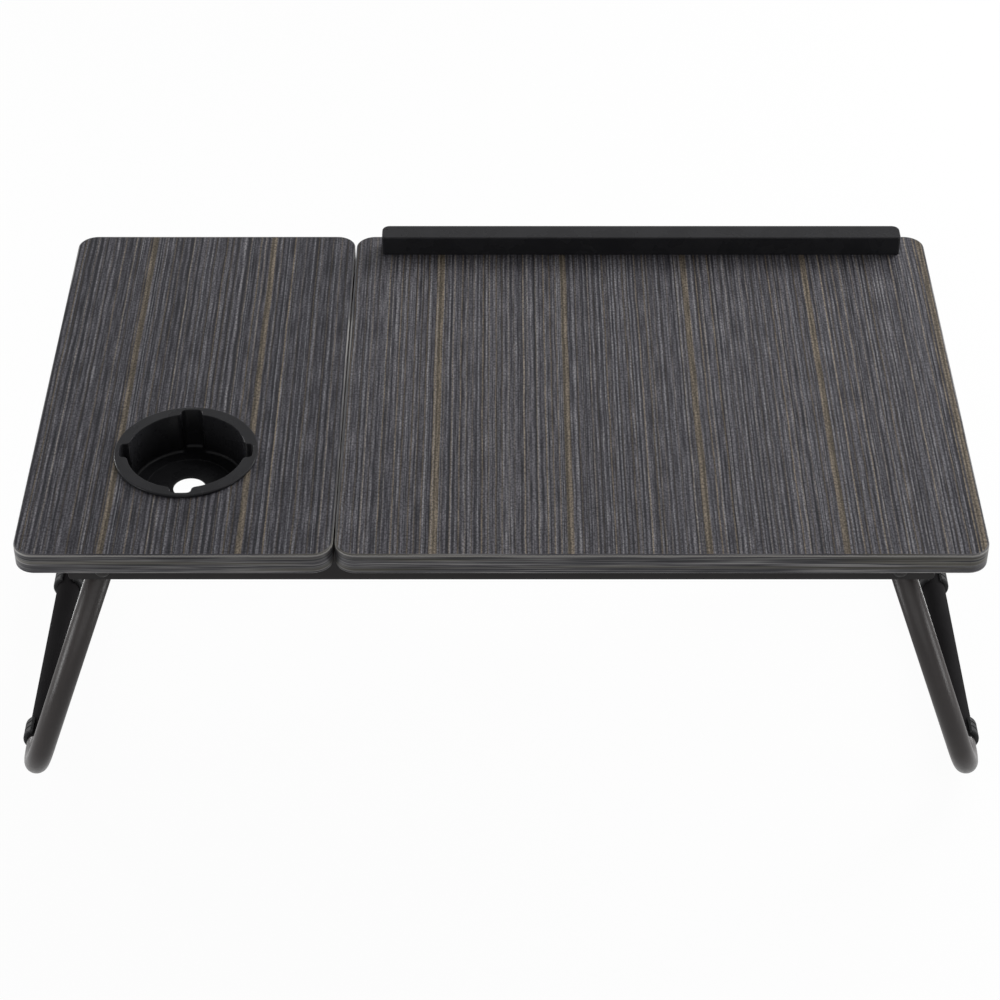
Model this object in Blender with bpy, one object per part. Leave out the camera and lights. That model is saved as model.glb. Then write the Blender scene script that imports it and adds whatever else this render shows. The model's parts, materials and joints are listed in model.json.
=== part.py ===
"""Laptop bed desk: a split tabletop on a folding steel frame, in metres, +Z up.

The origin is on the floor under the tabletop's middle. +X runs along the wide side, towards the
laptop panel's free end, and +Y runs from the panel's lifting edge to its hinged edge.
"""

import math

import bmesh
import bpy
from mathutils import Matrix, Vector

# Clearance between pieces that touch
GAP = 0.0003

# Tabletop
TOP_WIDTH = 0.600
TOP_DEPTH = 0.350
TOP_THICKNESS = 0.015
TOP_CORNER_RADIUS = 0.013
SIDE_PANEL_WIDTH = 0.1965
PANEL_GAP = 0.001
BAND_THICKNESS = 0.001

# Cup holder in the side panel
CUP_FROM_FRONT = 0.1007
CUP_BORE_RADIUS = 0.03775
CUP_WALL = 0.0015
CUP_DEPTH = 0.028
CUP_FLOOR = 0.0018
CUP_DRAIN_RADIUS = 0.0105
CUP_NOTCH_WIDTH = 0.015
CUP_NOTCH_DEPTH = 0.00505
CUP_NOTCH_FLARE = 0.0012
CUP_NOTCH_WALL = 0.001
CUP_HOLE_CLEARANCE = 0.0004
CUP_RIM_LAP = 0.0018
CUP_RIM_HEIGHT = 0.0018
CUP_RIM_ROUNDING = 0.0007

# Book ledge along the hinged edge of the laptop panel
LEDGE_FROM_PANEL_END = 0.0185
LEDGE_DEPTH = 0.0156
LEDGE_HEIGHT = 0.0144
LEDGE_FROM_BACK = 0.0077
LEDGE_BACK_RADIUS = 0.0035
LEDGE_FRONT_RADIUS = 0.0012
LEDGE_ARRIS = 0.0007
LEDGE_WALL = 0.002
LEDGE_BOSS_RADIUS = 0.0036
LEDGE_SCREW_FROM_END = 0.0325
LEDGE_SCREW_GRIP = 0.008

# Frame rails, angle section
RAIL_INSET = 0.0223
RAIL_END_INSET = 0.029
RAIL_HEIGHT = 0.024
RAIL_FLANGE = 0.022
RAIL_THICKNESS = 0.0015
RAIL_CORNER_RADIUS = 0.0025
STOP_THICKNESS = 0.0015
STOP_PAST_TUBE = 0.004
STOP_LIP = 0.0005

# Cross members, pressed channels whose ends pass over the folded legs
MEMBER_WIDTH = 0.024
MEMBER_THICKNESS = 0.0015
MEMBER_DEPTH = 0.0085
MEMBER_CLEARANCE = 0.007
MEMBER_END_CLEARANCE = 0.002
MEMBER_SLOPE = math.radians(45)

# Legs, each one bent tube with two struts and a ground bar
LEG_LENGTH = 0.21415
LEG_SPLAY = math.radians(18.9)
TUBE_RADIUS = 0.008
TUBE_WALL = 0.0012
TUBE_BEND = 0.040
TUBE_PAST_PIVOT = 0.0052
PIVOT_FROM_RAIL_END = 0.0215
PIVOT_BELOW_RAIL_TOP = 0.0167
LEG_RIVET_RADIUS = 0.0025
LEG_RIVET_HEAD_RADIUS = 0.0048
LEG_RIVET_HEAD_HEIGHT = 0.0018
LEG_RIVET_TAIL_RADIUS = 0.0040
LEG_RIVET_TAIL_HEIGHT = 0.0014
WASHER_RADIUS = 0.0065
WASHER_THICKNESS = 0.0016

# Foot pads, clipped on the ground bars
FOOT_LENGTH = 0.015
FRONT_FOOT_FROM_BEND = 0.0034
BACK_FOOT_FROM_BEND = 0.0246
FOOT_WALL = 0.0027
FOOT_SOLE = 0.0051
FOOT_SOLE_WIDTH = 0.015
FOOT_GRIP = math.radians(62)
FOOT_SOLE_BLEND = math.radians(36)

# Hinges of the laptop panel
HINGE_FROM_PANEL_END = 0.091
KNUCKLE_RADIUS = 0.0025
HINGE_PIN_RADIUS = 0.0011
HINGE_PIN_HEAD = 0.0017
LEAF_WIDTH = 0.036
LEAF_THICKNESS = 0.001
LEAF_MIDDLE = 0.012
LEAF_DROP = 0.0105
LEAF_REACH = 0.0165
LEAF_SCREW_SPACING = 0.022
LEAF_SCREW_REACH = 0.0099

# Support bail, its saddles and its racks
BAIL_WIRE_RADIUS = 0.0025
BAIL_BEND = 0.008
BAIL_STUB = 0.024
BAIL_SIDE_CLEARANCE = 0.002
SADDLE_WIDTH = 0.012
SADDLE_THICKNESS = 0.0012
SADDLE_EAR = 0.0075
SADDLE_FROM_ARM = 0.0155
RACK_WIDTH = 0.016
RACK_THICKNESS = 0.0054
RACK_FROM_MEMBER_WEB_END = 0.0295
RACK_MARGIN = 0.006
RACK_TAIL = 0.0125
RACK_PEG_INSET = 0.0045
RACK_PEG_RADIUS = 0.0017
RACK_PEG_BARB = 0.0008
RACK_PEG_HEAD = 0.0024
NOTCH_DEPTH = 0.0026
NOTCH_CLEARANCE = 0.0004
TILT_STEPS = (15, 22, 29, 35)

# Fasteners
SCREW_RADIUS = 0.0015
SCREW_HEAD_RADIUS = 0.0028
SCREW_HEAD_HEIGHT = 0.0017
SCREW_GRIP = 0.010
SIDE_SCREW_FROM_EDGE = 0.070
SIDE_SCREW_FROM_GAP = 0.021
SMALL_RIVET_RADIUS = 0.0015
SMALL_RIVET_HEAD_RADIUS = 0.0023
SMALL_RIVET_HEAD_HEIGHT = 0.001
SMALL_RIVET_DROP = 0.0063
FLUSH_HEAD_RADIUS = 0.0028
FLUSH_HEAD_SINK = 0.0001

# How finely round pieces are cut
CORNER_STEPS = 5
LEDGE_CORNER_STEPS = 4
CUP_STEPS = 5
NOTCH_ROOT_STEPS = 3
HOLE_STEPS = 10
CUP_HOLE_STEPS = 36
DRAIN_STEPS = 20
HEAD_STEPS = 3
CURL_STEPS = 11
SADDLE_STEPS = 6
FOOT_BORE_STEPS = 11
FOOT_SIDE_STEPS = 4
RACK_NOTCH_STEPS = 5
TUBE_SIDES = 14
WIRE_SIDES = 10
BEND_STEPS = 6

# Corners nearer than this are one
WELD = 1e-6

# Heights, from the floor up
FOOT_DROP = TUBE_RADIUS + GAP + FOOT_SOLE
PIVOT_Z = FOOT_DROP + LEG_LENGTH * math.cos(LEG_SPLAY)
RAIL_TOP_Z = PIVOT_Z + PIVOT_BELOW_RAIL_TOP
RAIL_BOTTOM_Z = RAIL_TOP_Z - RAIL_HEIGHT
FLANGE_UNDER_Z = RAIL_TOP_Z - RAIL_THICKNESS
PANEL_UNDER_Z = RAIL_TOP_Z + GAP
TOP_Z = PANEL_UNDER_Z + TOP_THICKNESS
HINGE_Z = PANEL_UNDER_Z - GAP - KNUCKLE_RADIUS
BAIL_Z = PANEL_UNDER_Z - GAP - BAIL_WIRE_RADIUS
RACK_TOP_Z = BAIL_Z - BAIL_WIRE_RADIUS - GAP
MEMBER_WEB_Z = RACK_TOP_Z - RACK_THICKNESS - GAP
MEMBER_END_Z = FLANGE_UNDER_Z - GAP

# Distances from the tabletop's middle, along X
GAP_EDGE_X = -TOP_WIDTH / 2 + SIDE_PANEL_WIDTH
MAIN_EDGE_X = GAP_EDGE_X + PANEL_GAP
MAIN_MIDDLE_X = (MAIN_EDGE_X + TOP_WIDTH / 2) / 2
SIDE_MIDDLE_X = (GAP_EDGE_X - TOP_WIDTH / 2) / 2
RAIL_END_X = TOP_WIDTH / 2 - RAIL_END_INSET
PIVOT_X = RAIL_END_X - PIVOT_FROM_RAIL_END
FOLDED_BAR_X = PIVOT_X - LEG_LENGTH
FOOT_RADIUS = TUBE_RADIUS + GAP + FOOT_WALL
MEMBER_XS = (
    -(FOLDED_BAR_X + FOOT_RADIUS + MEMBER_CLEARANCE + MEMBER_WIDTH / 2),
    PIVOT_X - TUBE_RADIUS - MEMBER_CLEARANCE - MEMBER_WIDTH / 2,
)
BAIL_ARM_FROM_MEMBER = RACK_WIDTH / 2 + BAIL_BEND + BAIL_SIDE_CLEARANCE
BAIL_ARM_XS = (MEMBER_XS[0] - BAIL_ARM_FROM_MEMBER, MEMBER_XS[1] + BAIL_ARM_FROM_MEMBER)
SADDLE_XS = (BAIL_ARM_XS[0] + SADDLE_FROM_ARM, BAIL_ARM_XS[1] - SADDLE_FROM_ARM)
HINGE_XS = (MAIN_EDGE_X + HINGE_FROM_PANEL_END, TOP_WIDTH / 2 - HINGE_FROM_PANEL_END)
SIDE_SCREW_XS = (-TOP_WIDTH / 2 + SIDE_SCREW_FROM_EDGE, GAP_EDGE_X - SIDE_SCREW_FROM_GAP)
LEDGE_XS = (MAIN_EDGE_X + LEDGE_FROM_PANEL_END, TOP_WIDTH / 2 - LEDGE_FROM_PANEL_END)
LEDGE_SCREW_XS = (LEDGE_XS[0] + LEDGE_SCREW_FROM_END, MAIN_MIDDLE_X, LEDGE_XS[1] - LEDGE_SCREW_FROM_END)

# Distances from the tabletop's middle, along Y
RAIL_FACE_Y = TOP_DEPTH / 2 - RAIL_INSET
RAIL_INNER_Y = RAIL_FACE_Y - RAIL_THICKNESS
FLANGE_EDGE_Y = RAIL_FACE_Y - RAIL_FLANGE
FLANGE_MIDDLE_Y = RAIL_FACE_Y - RAIL_FLANGE / 2
STRUT_Y = RAIL_INNER_Y - GAP - WASHER_THICKNESS - GAP - TUBE_RADIUS
CUP_Y = -TOP_DEPTH / 2 + CUP_FROM_FRONT
MEMBER_HIGH_Y = FLANGE_EDGE_Y - MEMBER_THICKNESS
MEMBER_LOW_Y = MEMBER_HIGH_Y - (MEMBER_END_Z - MEMBER_WEB_Z) / math.tan(MEMBER_SLOPE)
HINGE_Y = RAIL_FACE_Y + GAP + KNUCKLE_RADIUS
BAIL_LENGTH = (HINGE_Y - RACK_MARGIN + MEMBER_LOW_Y - RACK_FROM_MEMBER_WEB_END) / 2
BAIL_PIVOT_Y = HINGE_Y - BAIL_LENGTH
LEDGE_MIDDLE_Y = TOP_DEPTH / 2 - LEDGE_FROM_BACK - LEDGE_DEPTH / 2
LEAF_SCREW_Y = HINGE_Y + LEAF_SCREW_REACH
CUP_HOLE_RADIUS = CUP_BORE_RADIUS + CUP_NOTCH_DEPTH + CUP_NOTCH_WALL + CUP_HOLE_CLEARANCE

ALONG = {
    "X": (Vector((1, 0, 0)), Vector((0, 1, 0)), Vector((0, 0, 1))),
    "Y": (Vector((0, 1, 0)), Vector((1, 0, 0)), Vector((0, 0, 1))),
    "Z": (Vector((0, 0, 1)), Vector((1, 0, 0)), Vector((0, 1, 0))),
}


def clear_scene():
    for item in list(bpy.data.objects):
        bpy.data.objects.remove(item, do_unlink=True)


def material(name, colour, roughness, metallic=0.0):
    finish = bpy.data.materials.new(name)
    finish.use_nodes = True
    shader = finish.node_tree.nodes["Principled BSDF"]
    shader.inputs["Base Color"].default_value = (*colour, 1.0)
    shader.inputs["Roughness"].default_value = roughness
    shader.inputs["Metallic"].default_value = metallic
    finish.diffuse_color = (*colour, 1.0)
    return finish


def empty(name, location, parent=None, turn=0.0):
    """A pivot at a place in the desk's frame, turned about Y; its parent is never turned."""
    pivot = bpy.data.objects.new(name, None)
    pivot.location = Vector(location) - world_origin(parent)
    pivot.rotation_euler.y = turn
    pivot.parent = parent
    bpy.context.scene.collection.objects.link(pivot)
    return pivot


def world_origin(item):
    total = Vector()
    while item:
        total += item.location
        item = item.parent
    return total


def place(name, bm, finish, parent=None, local=False):
    """Make an object of a bmesh drawn in the desk's frame, or, if local, in its pivot's frame."""
    bmesh.ops.recalc_face_normals(bm, faces=bm.faces)
    if not local:
        bmesh.ops.translate(bm, vec=-world_origin(parent), verts=bm.verts)
    mesh = bpy.data.meshes.new(name)
    bm.to_mesh(mesh)
    bm.free()
    mesh.materials.append(finish)
    piece = bpy.data.objects.new(name, mesh)
    piece.parent = parent
    bpy.context.scene.collection.objects.link(piece)
    return piece


def smooth(piece):
    piece.data.shade_smooth()
    piece.data.set_sharp_from_angle(angle=math.radians(40))
    return piece


def boolean(piece, bm, operation, local=False):
    """Cut a bmesh out of a piece, or join it on, through a hidden helper on the same pivot."""
    helper = place(f"{piece.name}.helper", bm, piece.data.materials[0], piece.parent, local)
    helper.hide_render = True
    helper.display_type = "WIRE"
    step = piece.modifiers.new(operation.title(), "BOOLEAN")
    step.operation = operation
    step.object = helper


def arc(centre, radius, start, end, steps):
    """Points on an arc, with both ends, angles in radians."""
    turn = (end - start) / steps
    angles = (start + turn * step for step in range(steps + 1))
    return [(centre[0] + radius * math.cos(a), centre[1] + radius * math.sin(a)) for a in angles]


def rounded_rectangle(low, high, radii, steps=CORNER_STEPS):
    """Corners in the order: low-low, high-low, high-high, low-high."""
    signs = ((-1, -1), (1, -1), (1, 1), (-1, 1))
    points = []
    for number, (sign, radius) in enumerate(zip(signs, radii)):
        corner = [high[i] if sign[i] > 0 else low[i] for i in (0, 1)]
        centre = (corner[0] - sign[0] * radius, corner[1] - sign[1] * radius)
        start = math.pi + number * math.pi / 2
        points += arc(centre, radius, start, start + math.pi / 2, steps)
    return points


def prism(outline, axis, low, high, bm=None):
    """Extrude an outline along X, Y or Z. Its points are YZ, XZ or XY pairs."""
    bm = bm or bmesh.new()
    along, across, up = ALONG[axis]
    corners = [bm.verts.new(across * u + up * v + along * low) for u, v in outline]
    base = bm.faces.new(corners)
    raised = bmesh.ops.extrude_face_region(bm, geom=[base])["geom"]
    far_side = [item for item in raised if isinstance(item, bmesh.types.BMVert)]
    bmesh.ops.translate(bm, vec=along * (high - low), verts=far_side)
    return bm


def box(low, high, bm=None):
    outline = [(low[0], low[1]), (high[0], low[1]), (high[0], high[1]), (low[0], high[1])]
    return prism(outline, "Z", low[2], high[2], bm)


def turned(profile, centre, axis, bm=None, steps=HOLE_STEPS, direction=1):
    """Spin a closed profile of (radius, distance along the axis) pairs about an axis."""
    bm = bm or bmesh.new()
    along, across, _ = ALONG[axis]
    start = [bm.verts.new(Vector(centre) + across * r + along * direction * h) for r, h in profile]
    ring = [bm.edges.new((start[i - 1], start[i])) for i in range(len(start))]
    bmesh.ops.spin(bm, geom=start + ring, cent=centre, axis=along, angle=math.tau, steps=steps, use_merge=True)
    bmesh.ops.remove_doubles(bm, verts=bm.verts, dist=WELD)
    return bm


def dome(radius, height, base):
    """A rounded head's profile from its crown to its rim; a negative height turns it over."""
    return [(radius * r, base + height * h) for h, r in arc((0, 0), 1, 0, math.pi / 2, HEAD_STEPS)]


def drill(spots, axis, radius, low, high, bm=None, steps=HOLE_STEPS):
    """Cylinders for drilled holes, between two distances along an axis from each spot."""
    for spot in spots:
        bm = turned([(0, low), (radius, low), (radius, high), (0, high)], spot, axis, bm, steps)
    return bm


def bent_path(corners, radius, steps=BEND_STEPS):
    """A path through right-angled corners, each rounded to a bend radius."""
    points = [Vector(corners[0])]
    for before, corner, after in zip(corners, corners[1:], corners[2:]):
        back = (Vector(before) - Vector(corner)).normalized()
        ahead = (Vector(after) - Vector(corner)).normalized()
        centre = Vector(corner) + radius * (back + ahead)
        for step in range(steps + 1):
            angle = math.pi / 2 * step / steps
            points.append(centre - radius * (ahead * math.cos(angle) + back * math.sin(angle)))
    points.append(Vector(corners[-1]))
    return points


def rod(path, radius, sides, capped):
    """A bmesh of a round bar or tube skin along a path."""
    line = bpy.data.curves.new("path", "CURVE")
    line.dimensions = "3D"
    line.bevel_depth = radius
    line.bevel_resolution = (sides - 4) // 2
    line.use_fill_caps = capped
    spline = line.splines.new("POLY")
    spline.points.add(len(path) - 1)
    for point, place_at in zip(spline.points, path):
        point.co = (*place_at, 1.0)
    guide = bpy.data.objects.new("path", line)
    bpy.context.scene.collection.objects.link(guide)
    bm = bmesh.new()
    bm.from_mesh(guide.to_mesh())
    guide.to_mesh_clear()
    bpy.data.objects.remove(guide, do_unlink=True)
    bmesh.ops.remove_doubles(bm, verts=bm.verts, dist=WELD)
    return bm


def fasteners(name, profile, spots, axis, finish, parent=None, direction=1):
    """Copies of one turned piece, each its own object on the same mesh."""
    first = smooth(place(f"{name}_1", turned(profile, (0, 0, 0), axis, direction=direction), finish))
    copies = [first]
    for number in range(2, len(spots) + 1):
        copy = bpy.data.objects.new(f"{name}_{number}", first.data)
        bpy.context.scene.collection.objects.link(copy)
        copies.append(copy)
    for piece, spot in zip(copies, spots):
        piece.parent = parent
        piece.location = Vector(spot) - world_origin(parent)


def screw_profile(grip):
    """A pan head below a bearing face at 0, and a shank that rises above it."""
    shank = [(SCREW_RADIUS, -GAP), (SCREW_RADIUS, grip - SCREW_RADIUS), (0, grip)]
    return dome(SCREW_HEAD_RADIUS, -SCREW_HEAD_HEIGHT, -GAP) + shank


def panel(name, low_x, high_x, board_finish, band_finish, parent=None):
    """A board with rounded corners and the band glued round it."""
    half = TOP_DEPTH / 2
    inset = BAND_THICKNESS + GAP

    def outline(inset):
        low = (low_x + inset, -half + inset)
        high = (high_x - inset, half - inset)
        return rounded_rectangle(low, high, [TOP_CORNER_RADIUS - inset] * 4)

    board = place(f"{name}_board", prism(outline(inset), "Z", PANEL_UNDER_Z, TOP_Z), board_finish, parent)
    band_bm = bmesh.new()
    loops = []
    for loop_inset in (0.0, BAND_THICKNESS):
        corners = [band_bm.verts.new((x, y, PANEL_UNDER_Z)) for x, y in outline(loop_inset)]
        loops += [band_bm.edges.new((corners[i - 1], corners[i])) for i in range(len(corners))]
    ring = bmesh.ops.bridge_loops(band_bm, edges=loops)["faces"]
    raised = bmesh.ops.extrude_face_region(band_bm, geom=ring)["geom"]
    upper = [item for item in raised if isinstance(item, bmesh.types.BMVert)]
    bmesh.ops.translate(band_bm, vec=(0, 0, TOP_THICKNESS), verts=upper)
    place(f"{name}_edge_band", band_bm, band_finish, parent)
    return board


def pilot_holes(spots, depth):
    """Holes up into a board, from just under a bearing face."""
    return drill(spots, "Z", SCREW_RADIUS + GAP, -GAP, depth + GAP)


def at_height(xs, ys, z):
    return [Vector((x, y, z)) for x in xs for y in ys]


def side_panel_screw_spots():
    return at_height(SIDE_SCREW_XS, (-FLANGE_MIDDLE_Y, FLANGE_MIDDLE_Y), FLANGE_UNDER_Z)


def hinge_screw_spots():
    half = LEAF_SCREW_SPACING / 2
    xs = [x + side * half for x in HINGE_XS for side in (-1, 1)]
    return at_height(xs, (LEAF_SCREW_Y,), PANEL_UNDER_Z - GAP - LEAF_THICKNESS)


def saddle_screw_spots():
    reach = BAIL_WIRE_RADIUS + GAP + SADDLE_THICKNESS + SADDLE_EAR / 2
    ys = (BAIL_PIVOT_Y - reach, BAIL_PIVOT_Y + reach)
    return at_height(SADDLE_XS, ys, PANEL_UNDER_Z - GAP - SADDLE_THICKNESS)


def ledge_screw_spots():
    return at_height(LEDGE_SCREW_XS, (LEDGE_MIDDLE_Y,), PANEL_UNDER_Z)


def make_side_panel(finishes):
    board = panel("side_panel", -TOP_WIDTH / 2, GAP_EDGE_X, finishes["laminate"], finishes["band"])
    hole = drill([(SIDE_MIDDLE_X, CUP_Y, PANEL_UNDER_Z)], "Z", CUP_HOLE_RADIUS, -TOP_THICKNESS,
                 2 * TOP_THICKNESS, steps=CUP_HOLE_STEPS)
    boolean(board, hole, "DIFFERENCE")
    boolean(board, pilot_holes(side_panel_screw_spots(), SCREW_GRIP), "DIFFERENCE")
    fasteners("side_panel_screw", screw_profile(SCREW_GRIP), side_panel_screw_spots(), "Z", finishes["zinc"])


def make_main_panel(finishes, pivot):
    board = panel("main_panel", MAIN_EDGE_X, TOP_WIDTH / 2, finishes["laminate"], finishes["band"], pivot)
    boolean(board, pilot_holes(hinge_screw_spots(), SCREW_GRIP), "DIFFERENCE")
    boolean(board, pilot_holes(saddle_screw_spots(), SCREW_GRIP), "DIFFERENCE")
    boolean(board, pilot_holes(ledge_screw_spots(), 2 * TOP_THICKNESS), "DIFFERENCE")


def notched_circle(radius, notch_radius, notch_half_width):
    """A circle with four notches, at the sides, the front and the back."""
    mouth = math.asin((notch_half_width + CUP_NOTCH_FLARE) / radius)
    root = math.asin(notch_half_width / notch_radius)
    points = []
    for quarter in range(4):
        middle = quarter * math.pi / 2
        points += arc((0, 0), notch_radius, middle - root, middle + root, NOTCH_ROOT_STEPS)
        points += arc((0, 0), radius, middle + mouth, middle + math.pi / 2 - mouth, CUP_STEPS)
    return [(SIDE_MIDDLE_X + x, CUP_Y + y) for x, y in points]


def make_cup_holder(finishes):
    floor_z = TOP_Z - CUP_DEPTH
    rim_radius = CUP_HOLE_RADIUS + CUP_RIM_LAP
    rim_z = TOP_Z + GAP
    rim_top_z = rim_z + CUP_RIM_HEIGHT
    notch_radius = CUP_BORE_RADIUS + CUP_NOTCH_DEPTH
    half_width = CUP_NOTCH_WIDTH / 2
    wall = notched_circle(CUP_BORE_RADIUS + CUP_WALL, notch_radius + CUP_NOTCH_WALL, half_width + CUP_WALL)
    body = prism(wall, "Z", floor_z - CUP_FLOOR, rim_z + CUP_RIM_HEIGHT / 2)
    cup = place("cup_holder", body, finishes["black"])
    rim_profile = [
        (0, 0),
        (rim_radius, 0),
        (rim_radius, CUP_RIM_HEIGHT - CUP_RIM_ROUNDING),
        (rim_radius - CUP_RIM_ROUNDING, CUP_RIM_HEIGHT),
        (0, CUP_RIM_HEIGHT),
    ]
    rim = turned(rim_profile, (SIDE_MIDDLE_X, CUP_Y, rim_z), "Z", steps=CUP_HOLE_STEPS)
    boolean(cup, rim, "UNION")
    bore = notched_circle(CUP_BORE_RADIUS, notch_radius, half_width)
    boolean(cup, prism(bore, "Z", floor_z, rim_top_z + GAP), "DIFFERENCE")
    drain = drill([(SIDE_MIDDLE_X, CUP_Y, floor_z)], "Z", CUP_DRAIN_RADIUS, -2 * CUP_FLOOR, CUP_FLOOR,
                  steps=DRAIN_STEPS)
    boolean(cup, drain, "DIFFERENCE")
    smooth(cup)


def make_ledge(finishes, pivot):
    low = (LEDGE_XS[0], LEDGE_MIDDLE_Y - LEDGE_DEPTH / 2)
    high = (LEDGE_XS[1], LEDGE_MIDDLE_Y + LEDGE_DEPTH / 2)
    low_z = TOP_Z + GAP
    high_z = TOP_Z + LEDGE_HEIGHT
    radii = [LEDGE_FRONT_RADIUS, LEDGE_FRONT_RADIUS, LEDGE_BACK_RADIUS, LEDGE_BACK_RADIUS]
    bm = prism(rounded_rectangle(low, high, radii, LEDGE_CORNER_STEPS), "Z", low_z, high_z)
    upper = [edge for edge in bm.edges if all(abs(v.co.z - high_z) < WELD for v in edge.verts)]
    bmesh.ops.bevel(bm, geom=upper, offset=LEDGE_ARRIS, segments=1, profile=0.5, affect="EDGES", material=-1)
    ledge = place("book_ledge", bm, finishes["black"], pivot)
    hollow = box(
        (low[0] + LEDGE_WALL, low[1] + LEDGE_WALL, low_z - LEDGE_WALL),
        (high[0] - LEDGE_WALL, high[1] - LEDGE_WALL, high_z - LEDGE_WALL),
    )
    boolean(ledge, hollow, "DIFFERENCE")
    feet = [Vector((x, LEDGE_MIDDLE_Y, low_z)) for x in LEDGE_SCREW_XS]
    bosses = drill(feet, "Z", LEDGE_BOSS_RADIUS, 0, LEDGE_HEIGHT - LEDGE_WALL / 2)
    boolean(ledge, bosses, "UNION")
    threads = drill(feet, "Z", SCREW_RADIUS + GAP, -LEDGE_WALL, LEDGE_SCREW_GRIP + GAP)
    boolean(ledge, threads, "DIFFERENCE")
    grip = TOP_THICKNESS + GAP + LEDGE_SCREW_GRIP
    fasteners("ledge_screw", screw_profile(grip), ledge_screw_spots(), "Z", finishes["zinc"], pivot)


def member_rivet_spots(side):
    return [Vector((x, side * FLANGE_MIDDLE_Y, RAIL_TOP_Z)) for x in MEMBER_XS]


def flush_rivet_profile(clearance=0.0):
    """A countersunk head just under 0 and its shank, down to the cross member's lower face."""
    shank_end = -RAIL_THICKNESS - GAP - MEMBER_THICKNESS - GAP
    radius = SMALL_RIVET_RADIUS + clearance
    head = FLUSH_HEAD_RADIUS + clearance
    top = clearance - FLUSH_HEAD_SINK
    return [(0, top), (head, top), (radius, top - (head - radius)), (radius, shank_end)]


def member_rivet_profile():
    tail_at = flush_rivet_profile()[-1][1]
    return flush_rivet_profile() + dome(SMALL_RIVET_HEAD_RADIUS, -SMALL_RIVET_HEAD_HEIGHT, tail_at)[::-1]


def member_rivet_hole():
    hole = flush_rivet_profile(GAP)
    return hole + [(0, hole[-1][1])]


def make_rail(name, side, finishes):
    """An angle with its upright wall outwards, a leg stop by each pivot, and its rivet holes."""
    outline = [
        (side * RAIL_FACE_Y, RAIL_TOP_Z),
        (side * RAIL_FACE_Y, RAIL_BOTTOM_Z),
        (side * RAIL_INNER_Y, RAIL_BOTTOM_Z),
        (side * RAIL_INNER_Y, FLANGE_UNDER_Z),
        (side * FLANGE_EDGE_Y, FLANGE_UNDER_Z),
        (side * FLANGE_EDGE_Y, RAIL_TOP_Z),
    ]
    bm = prism(outline, "X", -RAIL_END_X, RAIL_END_X)
    ends = [
        edge for edge in bm.edges
        if all(abs(v.co.z - RAIL_BOTTOM_Z) < WELD for v in edge.verts)
        and edge.verts[0].co.x * edge.verts[1].co.x > 0
    ]
    bmesh.ops.bevel(bm, geom=ends, offset=RAIL_CORNER_RADIUS, segments=CORNER_STEPS, profile=0.5,
                    affect="EDGES", material=-1)
    rail = place(name, bm, finishes["frame"])
    boolean(rail, leg_stops(side), "UNION")
    holes = drill([(x, side * RAIL_INNER_Y, PIVOT_Z) for x in (-PIVOT_X, PIVOT_X)], "Y",
                  LEG_RIVET_RADIUS + GAP, -2 * RAIL_THICKNESS, 3 * RAIL_THICKNESS)
    flange_spots = [spot for spot in side_panel_screw_spots() if spot.y * side > 0]
    drill(flange_spots, "Z", SCREW_RADIUS + GAP, -RAIL_THICKNESS, 2 * RAIL_THICKNESS, holes)
    for spot in member_rivet_spots(side):
        turned(member_rivet_hole(), spot, "Z", holes)
    if side > 0:
        drill(hinge_rivet_spots(), "Y", SMALL_RIVET_RADIUS + GAP, -3 * RAIL_THICKNESS, RAIL_THICKNESS, holes)
    boolean(rail, holes, "DIFFERENCE")


def leg_stops(side):
    """Plates across the angle that the struts lean on: each corner is where the open tube's
    upper side passes, with a clearance."""
    drop = PIVOT_Z - RAIL_BOTTOM_Z - STOP_LIP
    reach = (TUBE_RADIUS + GAP) / math.cos(LEG_SPLAY) + drop * math.tan(LEG_SPLAY)
    overlap = RAIL_THICKNESS / 2
    bm = None
    for end in (-1, 1):
        xs = sorted((end * (PIVOT_X + reach), end * (PIVOT_X + reach + STOP_THICKNESS)))
        ys = sorted((side * (RAIL_INNER_Y + overlap), side * (STRUT_Y - STOP_PAST_TUBE)))
        bm = box((xs[0], ys[0], RAIL_BOTTOM_Z + STOP_LIP), (xs[1], ys[1], FLANGE_UNDER_Z + overlap), bm)
    return bm


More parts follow.
